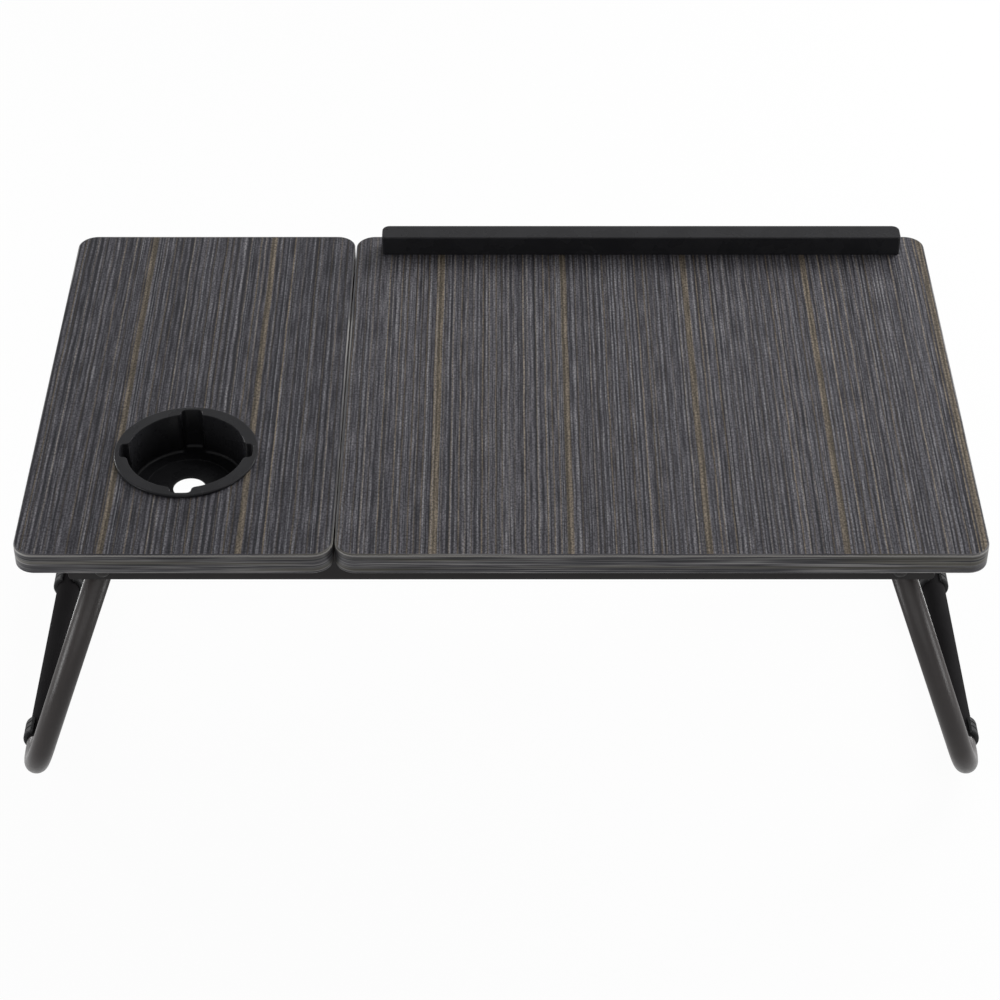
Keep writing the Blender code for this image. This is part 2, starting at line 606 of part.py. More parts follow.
def make_cross_member(name, x, finishes):
    """A pressed channel between the rails, lower in the middle, with its walls turned down."""
    end_y = RAIL_INNER_Y - MEMBER_END_CLEARANCE
    shift = MEMBER_THICKNESS * math.tan(MEMBER_SLOPE / 2)
    wall_y = MEMBER_LOW_Y - MEMBER_THICKNESS
    web_under_z = MEMBER_WEB_Z - MEMBER_THICKNESS
    wall_z = web_under_z - MEMBER_DEPTH
    half = [
        (end_y, MEMBER_END_Z - MEMBER_THICKNESS),
        (MEMBER_HIGH_Y + shift, MEMBER_END_Z - MEMBER_THICKNESS),
        (MEMBER_LOW_Y + shift, web_under_z),
        (wall_y, web_under_z),
        (wall_y, wall_z),
    ]
    upper = [(end_y, MEMBER_END_Z), (MEMBER_HIGH_Y, MEMBER_END_Z), (MEMBER_LOW_Y, MEMBER_WEB_Z)]
    outline = half + [(-y, z) for y, z in reversed(half)]
    outline += [(-y, z) for y, z in upper] + upper[::-1]
    member = place(name, prism(outline, "X", x - MEMBER_WIDTH / 2, x + MEMBER_WIDTH / 2), finishes["frame"])
    inner = MEMBER_WIDTH / 2 - MEMBER_THICKNESS
    pocket_y = wall_y - MEMBER_THICKNESS
    pocket = box((x - inner, -pocket_y, wall_z - MEMBER_DEPTH), (x + inner, pocket_y, web_under_z))
    boolean(member, pocket, "DIFFERENCE")
    holes = drill(rack_peg_spots(x), "Z", RACK_PEG_RADIUS + GAP, -2 * MEMBER_THICKNESS, MEMBER_THICKNESS)
    ends = [Vector((x, side * FLANGE_MIDDLE_Y, MEMBER_END_Z)) for side in (-1, 1)]
    drill(ends, "Z", SMALL_RIVET_RADIUS + GAP, -2 * MEMBER_THICKNESS, MEMBER_THICKNESS, holes)
    boolean(member, holes, "DIFFERENCE")


def tip_y(tilt_degrees):
    """Where the bail's tip stands when the panel is tilted: equal sides, so twice the cosine."""
    return HINGE_Y - 2 * BAIL_LENGTH * math.cos(math.radians(tilt_degrees))


def rack_ends():
    return tip_y(0) - RACK_MARGIN, tip_y(TILT_STEPS[-1]) + RACK_TAIL


def rack_peg_spots(x):
    front, back = rack_ends()
    return at_height((x,), (front + RACK_PEG_INSET, back - RACK_PEG_INSET), MEMBER_WEB_Z)


def make_rack(name, x, finishes):
    """A moulded strip with a round-bottomed notch for each tilt step, and two barbed pegs that
    snap through the cross member."""
    front, back = rack_ends()
    radius = BAIL_WIRE_RADIUS + NOTCH_CLEARANCE
    centre_z = RACK_TOP_Z + radius - NOTCH_DEPTH
    lift = math.asin((radius - NOTCH_DEPTH) / radius)
    outline = [(back, RACK_TOP_Z - RACK_THICKNESS), (front, RACK_TOP_Z - RACK_THICKNESS), (front, RACK_TOP_Z)]
    for tilt in TILT_STEPS:
        outline += arc((tip_y(tilt), centre_z), radius, math.pi + lift, math.tau - lift, RACK_NOTCH_STEPS)
    outline.append((back, RACK_TOP_Z))
    rack = place(name, prism(outline, "X", x - RACK_WIDTH / 2, x + RACK_WIDTH / 2), finishes["black"])
    root = 2 * GAP
    barb_at = -MEMBER_THICKNESS - GAP
    peg = [
        (0, root),
        (RACK_PEG_RADIUS, root),
        (RACK_PEG_RADIUS, barb_at),
        (RACK_PEG_RADIUS + RACK_PEG_BARB, barb_at),
        (RACK_PEG_RADIUS - RACK_PEG_BARB, barb_at - RACK_PEG_HEAD),
        (0, barb_at - RACK_PEG_HEAD),
    ]
    pegs = None
    for spot in rack_peg_spots(x):
        pegs = turned(peg, spot, "Z", pegs)
    boolean(rack, pegs, "UNION")


def leaf_outline(reach):
    """A hinge leaf's section: a flat plate down to its reach, and its upper end curled round the pin."""
    radius = KNUCKLE_RADIUS
    inner = -radius + LEAF_THICKNESS
    end = math.acos(-inner / radius) - math.pi
    curl = arc((0, 0), radius, math.pi, end, CURL_STEPS)
    return [(-radius, -reach)] + curl + [(inner, -reach)]


def make_hinge(side_name, x, finishes, pivot):
    low_x, high_x = x - LEAF_WIDTH / 2, x + LEAF_WIDTH / 2
    clear = KNUCKLE_RADIUS + GAP
    pin_hole_spots = [Vector((low_x, HINGE_Y, HINGE_Z))]
    fixed_outline = [(HINGE_Y + u, HINGE_Z + v) for u, v in leaf_outline(LEAF_DROP)]
    fixed = place(f"{side_name}_hinge_rail_leaf", prism(fixed_outline, "X", low_x, high_x), finishes["zinc"])
    moving_outline = [(HINGE_Y - v, HINGE_Z - u) for u, v in leaf_outline(LEAF_REACH)]
    moving = place(f"{side_name}_hinge_panel_leaf", prism(moving_outline, "X", low_x, high_x),
                   finishes["zinc"], pivot)
    middle = LEAF_MIDDLE / 2 + GAP
    slot = box((x - middle, HINGE_Y - clear - GAP, HINGE_Z - clear),
               (x + middle, HINGE_Y + clear, HINGE_Z + clear))
    boolean(fixed, slot, "DIFFERENCE")
    ends = None
    for low, high in ((low_x - GAP, x - LEAF_MIDDLE / 2), (x + LEAF_MIDDLE / 2, high_x + GAP)):
        ends = box((low, HINGE_Y - clear, HINGE_Z - clear),
                   (high, HINGE_Y + clear, HINGE_Z + clear + GAP), ends)
    boolean(moving, ends, "DIFFERENCE")
    for leaf in (fixed, moving):
        hole = drill(pin_hole_spots, "X", HINGE_PIN_RADIUS + GAP, -LEAF_WIDTH, 2 * LEAF_WIDTH)
        boolean(leaf, hole, "DIFFERENCE")
    own_rivets = [spot for spot in hinge_rivet_spots() if low_x < spot.x < high_x]
    holes = drill(own_rivets, "Y", SMALL_RIVET_RADIUS + GAP, -LEAF_THICKNESS, 3 * LEAF_THICKNESS)
    boolean(fixed, holes, "DIFFERENCE")
    own_screws = [spot for spot in hinge_screw_spots() if low_x < spot.x < high_x]
    holes = drill(own_screws, "Z", SCREW_RADIUS + GAP, -LEAF_THICKNESS, 2 * LEAF_THICKNESS)
    boolean(moving, holes, "DIFFERENCE")
    pin_end = LEAF_WIDTH + GAP
    pin_profile = dome(HINGE_PIN_HEAD, -HINGE_PIN_HEAD, -GAP)
    pin_profile += [(HINGE_PIN_RADIUS, -GAP), (HINGE_PIN_RADIUS, pin_end)]
    pin_profile += dome(HINGE_PIN_HEAD, HINGE_PIN_HEAD, pin_end)[::-1]
    smooth(place(f"{side_name}_hinge_pin", turned(pin_profile, pin_hole_spots[0], "X"), finishes["zinc"]))


def hinge_rivet_spots():
    """On the hinge's own face of the back rail's upright wall, above the folded struts."""
    half = LEAF_SCREW_SPACING / 2
    xs = [x + side * half for x in HINGE_XS for side in (-1, 1)]
    return [Vector((x, RAIL_FACE_Y, HINGE_Z - SMALL_RIVET_DROP)) for x in xs]


def small_rivet_profile():
    """A head outside the hinge leaf, a shank, and a tail inside the rail."""
    head_at = GAP + LEAF_THICKNESS + GAP
    tail_at = -RAIL_THICKNESS - GAP
    profile = dome(SMALL_RIVET_HEAD_RADIUS, SMALL_RIVET_HEAD_HEIGHT, head_at)
    profile += [(SMALL_RIVET_RADIUS, head_at), (SMALL_RIVET_RADIUS, tail_at)]
    return profile + dome(SMALL_RIVET_HEAD_RADIUS, -SMALL_RIVET_HEAD_HEIGHT, tail_at)[::-1]


def make_saddle(name, x, finishes, pivot):
    """A pressed strap that holds the bail's stub up against the panel."""
    inner = BAIL_WIRE_RADIUS + GAP
    outer = inner + SADDLE_THICKNESS
    ear_top = BAIL_WIRE_RADIUS
    ear_under = ear_top - SADDLE_THICKNESS
    ear_end = outer + SADDLE_EAR
    outline = [(-ear_end, ear_under), (-ear_end, ear_top), (-inner, ear_top)]
    outline += arc((0, 0), inner, math.pi, math.tau, SADDLE_STEPS)
    outline += [(inner, ear_top), (ear_end, ear_top), (ear_end, ear_under), (outer, ear_under)]
    outline += arc((0, 0), outer, 0, -math.pi, SADDLE_STEPS)
    outline.append((-outer, ear_under))
    outline = [(BAIL_PIVOT_Y + y, BAIL_Z + z) for y, z in outline]
    strap = prism(outline, "X", x - SADDLE_WIDTH / 2, x + SADDLE_WIDTH / 2)
    saddle = place(name, strap, finishes["zinc"], pivot)
    spots = [spot for spot in saddle_screw_spots() if abs(spot.x - x) < SADDLE_WIDTH]
    holes = drill(spots, "Z", SCREW_RADIUS + GAP, -SADDLE_THICKNESS, 2 * SADDLE_THICKNESS)
    boolean(saddle, holes, "DIFFERENCE")


def make_bail(finishes, pivot):
    """One bent wire: two stubs in the saddles, two arms, and the tip that stands in the racks."""
    left, right = BAIL_ARM_XS
    tip = tip_y(0)
    corners = [
        (left + BAIL_STUB, BAIL_PIVOT_Y, BAIL_Z),
        (left, BAIL_PIVOT_Y, BAIL_Z),
        (left, tip, BAIL_Z),
        (right, tip, BAIL_Z),
        (right, BAIL_PIVOT_Y, BAIL_Z),
        (right - BAIL_STUB, BAIL_PIVOT_Y, BAIL_Z),
    ]
    wire = rod(bent_path(corners, BAIL_BEND), BAIL_WIRE_RADIUS, WIRE_SIDES, capped=True)
    smooth(place("support_bail", wire, finishes["zinc"], pivot))


def make_leg(side_name, side, finishes):
    """A leg in its pivot's own frame, hanging straight down, on a pivot turned to the splay."""
    pivot = empty(f"{side_name}_leg_pivot", (side * PIVOT_X, 0, PIVOT_Z), turn=-side * LEG_SPLAY)
    corners = [
        (0, -STRUT_Y, TUBE_PAST_PIVOT),
        (0, -STRUT_Y, -LEG_LENGTH),
        (0, STRUT_Y, -LEG_LENGTH),
        (0, STRUT_Y, TUBE_PAST_PIVOT),
    ]
    skin = rod(bent_path(corners, TUBE_BEND), TUBE_RADIUS, TUBE_SIDES, capped=False)
    tube = smooth(place(f"{side_name}_leg_tube", skin, finishes["leg"], pivot, local=True))
    wall = tube.modifiers.new("Wall", "SOLIDIFY")
    wall.thickness = TUBE_WALL
    wall.offset = -1
    across = drill([(0, -STRUT_Y, 0), (0, STRUT_Y, 0)], "Y", LEG_RIVET_RADIUS + GAP,
                   -2 * TUBE_RADIUS, 2 * TUBE_RADIUS)
    boolean(tube, across, "DIFFERENCE", local=True)
    for end_name, end, from_bend in (("front", -1, FRONT_FOOT_FROM_BEND), ("back", 1, BACK_FOOT_FROM_BEND)):
        outer_y = end * (STRUT_Y - TUBE_BEND - from_bend)
        make_foot_pad(f"{end_name}_{side_name}_foot_pad", side, outer_y, finishes, pivot)
        make_leg_rivet(f"{end_name}_{side_name}_leg_rivet", side, end, finishes)
        make_washer(f"{end_name}_{side_name}_leg_washer", side, end, finishes)


def make_foot_pad(name, side, outer_y, finishes, pivot):
    """A clip round the ground bar, with a flat sole that lies on the floor when the leg is open.
    Its outer end is the one nearer the bar's bend."""
    inner = TUBE_RADIUS + GAP
    sole = FOOT_SOLE_WIDTH / 2
    outline = arc((0, 0), inner, FOOT_GRIP, -math.pi - FOOT_GRIP, FOOT_BORE_STEPS)
    outline += arc((0, 0), FOOT_RADIUS, math.pi - FOOT_GRIP, math.pi + FOOT_SOLE_BLEND, FOOT_SIDE_STEPS)
    outline += [(-sole, -FOOT_DROP), (sole, -FOOT_DROP)]
    outline += arc((0, 0), FOOT_RADIUS, -FOOT_SOLE_BLEND, FOOT_GRIP, FOOT_SIDE_STEPS)
    ys = sorted((outer_y, outer_y - math.copysign(FOOT_LENGTH, outer_y)))
    bm = prism(outline, "Y", ys[0], ys[1])
    bmesh.ops.rotate(bm, cent=(0, 0, 0), matrix=Matrix.Rotation(side * LEG_SPLAY, 3, "Y"), verts=bm.verts)
    bmesh.ops.translate(bm, vec=(0, 0, -LEG_LENGTH), verts=bm.verts)
    place(name, bm, finishes["rubber"], pivot, local=True)


def make_leg_rivet(name, side, end, finishes):
    """The head is outside the rail, and the tail is peened over the strut's inner side."""
    tail_at = STRUT_Y - TUBE_RADIUS - GAP - RAIL_FACE_Y
    profile = dome(LEG_RIVET_HEAD_RADIUS, LEG_RIVET_HEAD_HEIGHT, GAP)
    profile += [(LEG_RIVET_RADIUS, GAP), (LEG_RIVET_RADIUS, tail_at)]
    profile += dome(LEG_RIVET_TAIL_RADIUS, -LEG_RIVET_TAIL_HEIGHT, tail_at)[::-1]
    rivet = turned(profile, (0, 0, 0), "Y", direction=end)
    piece = smooth(place(name, rivet, finishes["frame"]))
    piece.location = (side * PIVOT_X, end * RAIL_FACE_Y, PIVOT_Z)


def make_washer(name, side, end, finishes):
    """A plastic washer between the rail and the strut."""
    inner = LEG_RIVET_RADIUS + GAP
    profile = [(inner, 0), (WASHER_RADIUS, 0), (WASHER_RADIUS, WASHER_THICKNESS), (inner, WASHER_THICKNESS)]
    piece = smooth(place(name, turned(profile, (0, 0, 0), "Y", direction=end), finishes["black"]))
    piece.location = (side * PIVOT_X, end * (STRUT_Y + TUBE_RADIUS + GAP), PIVOT_Z)


def make_finishes():
    return {
        "laminate": material("charcoal_laminate", (0.070, 0.069, 0.074), 0.45),
        "band": material("edge_band", (0.098, 0.096, 0.094), 0.45),
        "black": material("black_plastic", (0.022, 0.022, 0.024), 0.4),
        "rubber": material("foot_rubber", (0.012, 0.012, 0.013), 0.7),
        "frame": material("dark_powder_coat", (0.030, 0.027, 0.028), 0.42, 0.3),
        "leg": material("brown_grey_powder_coat", (0.068, 0.058, 0.058), 0.38, 0.4),
        "zinc": material("zinc_plated_steel", (0.52, 0.52, 0.50), 0.35, 1.0),
    }


def build():
    clear_scene()
    finishes = make_finishes()
    panel_pivot = empty("main_panel_pivot", (MAIN_MIDDLE_X, HINGE_Y, HINGE_Z))
    bail_pivot = empty("support_bail_pivot", (MAIN_MIDDLE_X, BAIL_PIVOT_Y, BAIL_Z), panel_pivot)
    make_side_panel(finishes)
    make_cup_holder(finishes)
    make_rail("front_rail", -1, finishes)
    make_rail("back_rail", 1, finishes)
    make_main_panel(finishes, panel_pivot)
    make_ledge(finishes, panel_pivot)
    for number, side_name in enumerate(("left", "right")):
        make_cross_member(f"{side_name}_cross_member", MEMBER_XS[number], finishes)
        make_rack(f"{side_name}_rack", MEMBER_XS[number], finishes)
        make_hinge(side_name, HINGE_XS[number], finishes, panel_pivot)
        make_saddle(f"{side_name}_bail_saddle", SADDLE_XS[number], finishes, panel_pivot)
        make_leg(side_name, (-1, 1)[number], finishes)
    rivets = member_rivet_spots(-1) + member_rivet_spots(1)
    zinc = finishes["zinc"]
    fasteners("cross_member_rivet", member_rivet_profile(), rivets, "Z", zinc)
    fasteners("hinge_rail_rivet", small_rivet_profile(), hinge_rivet_spots(), "Y", zinc)
    fasteners("hinge_panel_screw", screw_profile(SCREW_GRIP), hinge_screw_spots(), "Z", zinc, panel_pivot)
    fasteners("saddle_screw", screw_profile(SCREW_GRIP), saddle_screw_spots(), "Z", zinc, panel_pivot)
    make_bail(finishes, bail_pivot)


build()
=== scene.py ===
"""Laptop bed desk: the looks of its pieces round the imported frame, in metres, +Z up.

Every piece is drawn where its CAD node is, rides on that node's body and stands for it.
"""

import json
import math

import bmesh
import bpy
from mathutils import Matrix, Vector

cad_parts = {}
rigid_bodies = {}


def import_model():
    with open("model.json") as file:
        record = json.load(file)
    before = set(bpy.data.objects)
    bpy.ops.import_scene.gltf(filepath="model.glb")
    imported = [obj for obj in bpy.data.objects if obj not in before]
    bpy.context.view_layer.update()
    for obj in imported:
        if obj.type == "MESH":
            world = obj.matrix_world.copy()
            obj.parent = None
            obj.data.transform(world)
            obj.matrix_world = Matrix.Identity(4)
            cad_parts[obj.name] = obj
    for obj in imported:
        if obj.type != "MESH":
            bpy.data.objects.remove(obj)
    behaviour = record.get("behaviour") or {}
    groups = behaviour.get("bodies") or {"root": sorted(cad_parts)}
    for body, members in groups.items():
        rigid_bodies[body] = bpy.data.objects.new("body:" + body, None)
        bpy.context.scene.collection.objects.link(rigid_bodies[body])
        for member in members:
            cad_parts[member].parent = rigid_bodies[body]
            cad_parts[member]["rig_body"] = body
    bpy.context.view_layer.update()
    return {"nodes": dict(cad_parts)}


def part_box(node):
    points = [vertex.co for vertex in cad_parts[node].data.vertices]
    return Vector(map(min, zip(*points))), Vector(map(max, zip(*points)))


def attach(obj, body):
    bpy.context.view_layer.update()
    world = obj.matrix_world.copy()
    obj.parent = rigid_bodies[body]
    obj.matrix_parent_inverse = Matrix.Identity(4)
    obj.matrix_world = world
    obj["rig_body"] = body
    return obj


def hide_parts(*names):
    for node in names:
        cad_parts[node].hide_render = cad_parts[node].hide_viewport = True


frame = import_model()

# Tabletop
TOP_CORNER_RADIUS = 0.013
CORNER_STEPS = 14
BAND_THICKNESS = 0.001
BAND_ARRIS = 0.0008
GLUE_LINE = 0.00004
# Pale stripe under the band's top arris: partly scraped print, partly a painted highlight
BAND_ARRIS_SCRAPE_AND_HIGHLIGHT = 0.0014
# Pale stripe along the band's foot: a painted highlight
BAND_FOOT_HIGHLIGHT = 0.0012

# Cup holder
CUP_BORE_RADIUS = 0.03775
CUP_WALL = 0.0015
CUP_FLOOR = 0.0018
CUP_DRAIN_RADIUS = 0.0105
CUP_NOTCH_HALF = 0.0067
CUP_NOTCH_DEPTH = 0.00505
CUP_NOTCH_WALL = 0.001
CUP_NOTCH_SIDE = 0.0012
CUP_NOTCH_MOUTH = 0.0032
CUP_NOTCH_ROOT = 0.0026
CUP_FLOOR_FALL = 0.00015
CUP_HOLE_RADIUS = 0.0442
CUP_HOLE_REACH = 0.02
CUP_RIM_LAP = 0.0018
CUP_RIM_ROUNDING = 0.0009
CUP_RIM_FALL = 0.0001
CUP_FOOT_INSET = 0.0002
CUP_FOOT_RISE = 0.0003
CUP_LIP_ROUNDING = 0.0005
CUP_HEEL_ROUNDING = 0.0012
CUP_DRAIN_ARRIS = 0.0003
CUP_DRAIN_ROUNDING = 0.0005
CUP_FLOOR_FILLET = 0.0022
CUP_RING_RADIUS = 0.0285
CUP_RING_WIDTH = 0.0009
CUP_RING_HEIGHT = 0.0003
CUP_SIDES = 96

# Book ledge
LEDGE_FRONT_RADIUS = 0.0025
LEDGE_BACK_RADIUS = 0.0052
LEDGE_ARRIS = 0.0009
LEDGE_WALL = 0.002

# Frame
RAIL_FLANGE = 0.022
SHEET = 0.0015
RAIL_CORNER_RADIUS = 0.0025
RAIL_FOLD_RADIUS = 0.0022
RAIL_BORE_REACH = 0.004
SHEET_ARRIS = 0.0003
MEMBER_DEPTH = 0.0085
MEMBER_DROP = 0.0092
MEMBER_FOLD_RADIUS = 0.0011
MEMBER_BEND = math.radians(45)
MEMBER_BEND_RADIUS = 0.0015
STOP_THICKNESS = 0.0015
STOP_REACH = 0.0158
STOP_RAISE = 0.0005

# Notched racks
RACK_THICKNESS = 0.0054
RACK_ARRIS = 0.0003
NOTCH_RADIUS = 0.0029
NOTCH_DEPTH = 0.0026
TILT_STEPS = (15, 22, 29, 35)
PEG_RADIUS = 0.0017
PEG_LENGTH = 0.0018
PEG_PLACE = 0.0045
PEG_ROOT = 0.0006
PEG_TIP_RADIUS = 0.0009
BARB_RADIUS = 0.0025
BARB_SKIRT = 0.0008
BARB_TAPER = 0.0002

# Legs
TUBE_RADIUS = 0.008
TUBE_WALL = 0.0012
TUBE_BEND = 0.040
TUBE_PAST_PIVOT = 0.0052
LEG_LENGTH = 0.21415
LEG_SPLAY = math.radians(18.9)
PIVOT_X = 0.2495
LEG_RIVET_RADIUS = 0.0025
LEG_RIVET_HEAD = (0.0048, 0.0018)
LEG_RIVET_TAIL = (0.0040, 0.0014)
WASHER_RADIUS = 0.0065
WASHER_EASE = 0.0003
FOOT_WALL = 0.0027
FOOT_SOLE_WIDTH = 0.015
FOOT_GRIP = math.radians(62)
FOOT_SOLE_BLEND = math.radians(36)
FOOT_END_ROUNDING = 0.0014
FOOT_GROOVE_PLACE = 0.0052
FOOT_GROOVE_DEPTH = 0.0006
FOOT_GROOVE_WIDTH = 0.0016

# Hinges
KNUCKLE_RADIUS = 0.0025
HINGE_PIN_RADIUS = 0.0011
HINGE_BORE = (-0.01, 0.05)
LEAF_THICKNESS = 0.001
LEAF_MIDDLE = 0.012
LEAF_DROP = 0.0105
LEAF_REACH = 0.0165
LEAF_ARRIS = 0.00012

# Tilt support
WIRE_RADIUS = 0.0025
WIRE_BEND = 0.008
WIRE_STUB = 0.024
SADDLE_THICKNESS = 0.0012
SADDLE_EAR = 0.0075
SADDLE_CORNER = 0.003
SADDLE_ARRIS = 0.0002

# Fasteners
SCREW_RADIUS = 0.0015
SCREW_HEAD = 0.0017
RIVET_HEAD = 0.001
MEMBER_TAIL_RADIUS = 0.0023
RECESS_LENGTH = 0.0028
RECESS_WIDTH = 0.0006
RECESS_DEPTH = 0.0011
RECESS_MOUTH = 0.001

# The gap between pieces that touch in the CAD model, and how near two corners are one
GAP = 0.0003
WELD = 1e-6

# Camera, fitted to the photograph
CAMERA_PLACE = (-0.0008, -1.3945, 1.28955)
CAMERA_PITCH = math.radians(39.3)
CAMERA_LENS = 94.52

# The room: even light, and more from the window side, behind and above to the right
ROOM_LIGHT = 0.06
WINDOW_LIGHT = 2.0
WINDOW_SIDE = (0.42, 0.86, 0.30)

# Grain of the laminate: a brown stripe comes back at a steady pitch on each panel
BROWN_PITCH = 0.0845
SIDE_BROWN_X = -0.2455
MAIN_BROWN_X = -0.0415
SIDE_GRAIN_PITCH = 0.0036
MAIN_GRAIN_PITCH = 0.0028
LINE_CONTRAST = 1.7
PATCH_CONTRAST = 0.9
RIPPLE_CONTRAST = 0.19
SLOW_RIPPLE_CONTRAST = 0.12
RIPPLE_WANDER = 9.0
TAN_WIDTH = 0.00045
PALE_WIDTH = 0.0003
DARK_WIDTH = 0.00036

# Floor: just under the soles, and how white the camera sees it
FLOOR_HALF = 4
FLOOR_DROP = 0.0005
FLOOR_WHITE = 0.96

ALONG = {
    "X": (Vector((1, 0, 0)), Vector((0, 1, 0)), Vector((0, 0, 1))),
    "Y": (Vector((0, 1, 0)), Vector((1, 0, 0)), Vector((0, 0, 1))),
    "Z": (Vector((0, 0, 1)), Vector((1, 0, 0)), Vector((0, 1, 0))),
}


# Shapes

def middle_of(name):
    """The middle of a CAD node's box: X, Y and Z."""
    return [(a + b) / 2 for a, b in zip(*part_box(name))]


def arc(centre, radius, start, end, steps):
    """Points on an arc, with both ends, angles in radians."""
    turn = (end - start) / steps
    angles = (start + turn * step for step in range(steps + 1))
    return [(centre[0] + radius * math.cos(a), centre[1] + radius * math.sin(a)) for a in angles]


def only(kind, items):
    """The vertices or the edges among an operator's results."""
    return [item for item in items if isinstance(item, kind)]


def block(low, high):
    """A box between two corners."""
    bm = bmesh.new()
    middle = (Vector(low) + Vector(high)) / 2
    size = Vector(high) - Vector(low)
    placed = Matrix.Translation(middle) @ Matrix.Diagonal((*size, 1))
    bmesh.ops.create_cube(bm, size=1, matrix=placed)
    return bm


def prism(outline, axis, low, high):
    """An outline extruded along X, Y or Z. Its points are YZ, XZ or XY pairs."""
    bm = bmesh.new()
    along, across, up = ALONG[axis]
    base = bm.faces.new([bm.verts.new(across * u + up * v + along * low) for u, v in outline])
    raised = bmesh.ops.extrude_face_region(bm, geom=[base])["geom"]
    far_side = only(bmesh.types.BMVert, raised)
    bmesh.ops.translate(bm, vec=along * (high - low), verts=far_side)
    bmesh.ops.recalc_face_normals(bm, faces=bm.faces)
    return bm


def turned(profile, centre, axis, steps=24, direction=1):
    """A profile of (radius, distance along the axis) pairs spun about an axis."""
    bm = bmesh.new()
    along, across, _ = ALONG[axis]
    start = [bm.verts.new(Vector(centre) + across * r + along * direction * h) for r, h in profile]
    ring = [bm.edges.new(pair) for pair in zip(start, start[1:])]
    if profile[0][0] > WELD:
        ring.append(bm.edges.new((start[-1], start[0])))
    bmesh.ops.spin(bm, geom=start + ring, cent=centre, axis=along, angle=math.tau, steps=steps,
                   use_merge=True)
    bmesh.ops.remove_doubles(bm, verts=bm.verts, dist=WELD)
    bmesh.ops.recalc_face_normals(bm, faces=bm.faces)
    return bm


def dome(radius, height, base, steps=5):
    """A rounded head's profile from its crown to its rim; a negative height turns it over."""
    return [(radius * r, base + height * h) for h, r in arc((0, 0), 1, 0, math.pi / 2, steps)]


def drilled(spots, axis, radius, low, high, steps=24):
    """Round bars through spots, for cutting holes, between two distances along an axis."""
    profile = [(0, low), (radius, low), (radius, high), (0, high)]
    return gathered([turned(profile, spot, axis, steps) for spot in spots])


def gathered(parts):
    """Several bmeshes as one."""
    whole = bmesh.new()
    for bm in parts:
        mesh = bpy.data.meshes.new("part")
        bm.to_mesh(mesh)
        bm.free()
        whole.from_mesh(mesh)
        bpy.data.meshes.remove(mesh)
    return whole


def combined(bm, other, operation):
    """One bmesh with another cut out of it or joined on."""
    helpers = []
    for source in (bm, other):
        mesh = bpy.data.meshes.new("helper")
        source.to_mesh(mesh)
        source.free()
        helper = bpy.data.objects.new("helper", mesh)
        bpy.context.scene.collection.objects.link(helper)
        helpers.append(helper)
    step = helpers[0].modifiers.new("Combine", "BOOLEAN")
    step.operation = operation
    step.object = helpers[1]
    result = bmesh.new()
    result.from_object(helpers[0], bpy.context.evaluated_depsgraph_get())
    for helper in helpers:
        bpy.data.meshes.remove(helper.data)
    return result


def round_off(bm, edges, radius, steps):
    bmesh.ops.bevel(bm, geom=list(edges), offset=radius, segments=steps, profile=0.5,
                    affect="EDGES", material=-1)


def soften(bm, radius, steps=2, angle=math.radians(40)):
    """Round every sharp edge a little."""
    sharp = [edge for edge in bm.edges if edge.is_manifold and edge.calc_face_angle(0) > angle]
    round_off(bm, sharp, radius, steps)


def run(edge, axis):
    """How far an edge runs along an axis (0, 1 or 2)."""
    return abs(edge.verts[0].co[axis] - edge.verts[1].co[axis])


def upright_edges(bm):
    return [edge for edge in bm.edges if run(edge, 2) > WELD]


def edges_at(bm, axis, value):
    """Edges that lie in the plane across an axis (0, 1 or 2) at a value."""
    return [e for e in bm.edges if all(abs(v.co[axis] - value) < WELD for v in e.verts)]


def lofted(rings, capped=False):
    """A skin through rings of points: its two ends capped, or joined to each other."""
    bm = bmesh.new()
    loops = []
    for ring in rings:
        corners = [bm.verts.new(point) for point in ring]
        loops.append([bm.edges.new((corners[i - 1], corners[i])) for i in range(len(corners))])
        if capped and ring in (rings[0], rings[-1]):
            bm.faces.new(corners)
    for number in range(int(capped), len(loops)):
        bmesh.ops.bridge_loops(bm, edges=loops[number - 1] + loops[number])
    bmesh.ops.recalc_face_normals(bm, faces=bm.faces)
    return bm


def bent_bar(corners, bend, radius, sides, steps):
    """A round bar's skin through right-angled corners: a ring drawn out, and spun at each bend."""
    points = [Vector(corner) for corner in corners]
    way = (points[1] - points[0]).normalized()
    bm = bmesh.new()
    facing = Matrix.Translation(points[0]) @ way.to_track_quat("Z", "X").to_matrix().to_4x4()
    bmesh.ops.create_circle(bm, segments=sides, radius=radius, matrix=facing)
    ring = list(bm.edges)
    at = points[0]
    for corner, after in zip(points[1:], points[2:]):
        turn = (after - corner).normalized()
        ring = drawn(bm, ring, corner - way * bend - at)
        spun = bmesh.ops.spin(bm, geom=ring, cent=corner + (turn - way) * bend,
                              axis=way.cross(turn), angle=math.pi / 2, steps=steps)
        ring = only(bmesh.types.BMEdge, spun["geom_last"])
        at = corner + turn * bend
        way = turn
    drawn(bm, ring, points[-1] - at)
    bmesh.ops.remove_doubles(bm, verts=bm.verts, dist=WELD)
    bmesh.ops.recalc_face_normals(bm, faces=bm.faces)
    return bm


def drawn(bm, ring, vec):
    """A ring of edges extruded straight; the new ring comes back."""
    made = bmesh.ops.extrude_edge_only(bm, edges=ring)["geom"]
    bmesh.ops.translate(bm, vec=vec, verts=only(bmesh.types.BMVert, made))
    return [edge for edge in only(bmesh.types.BMEdge, made) if edge.is_boundary]


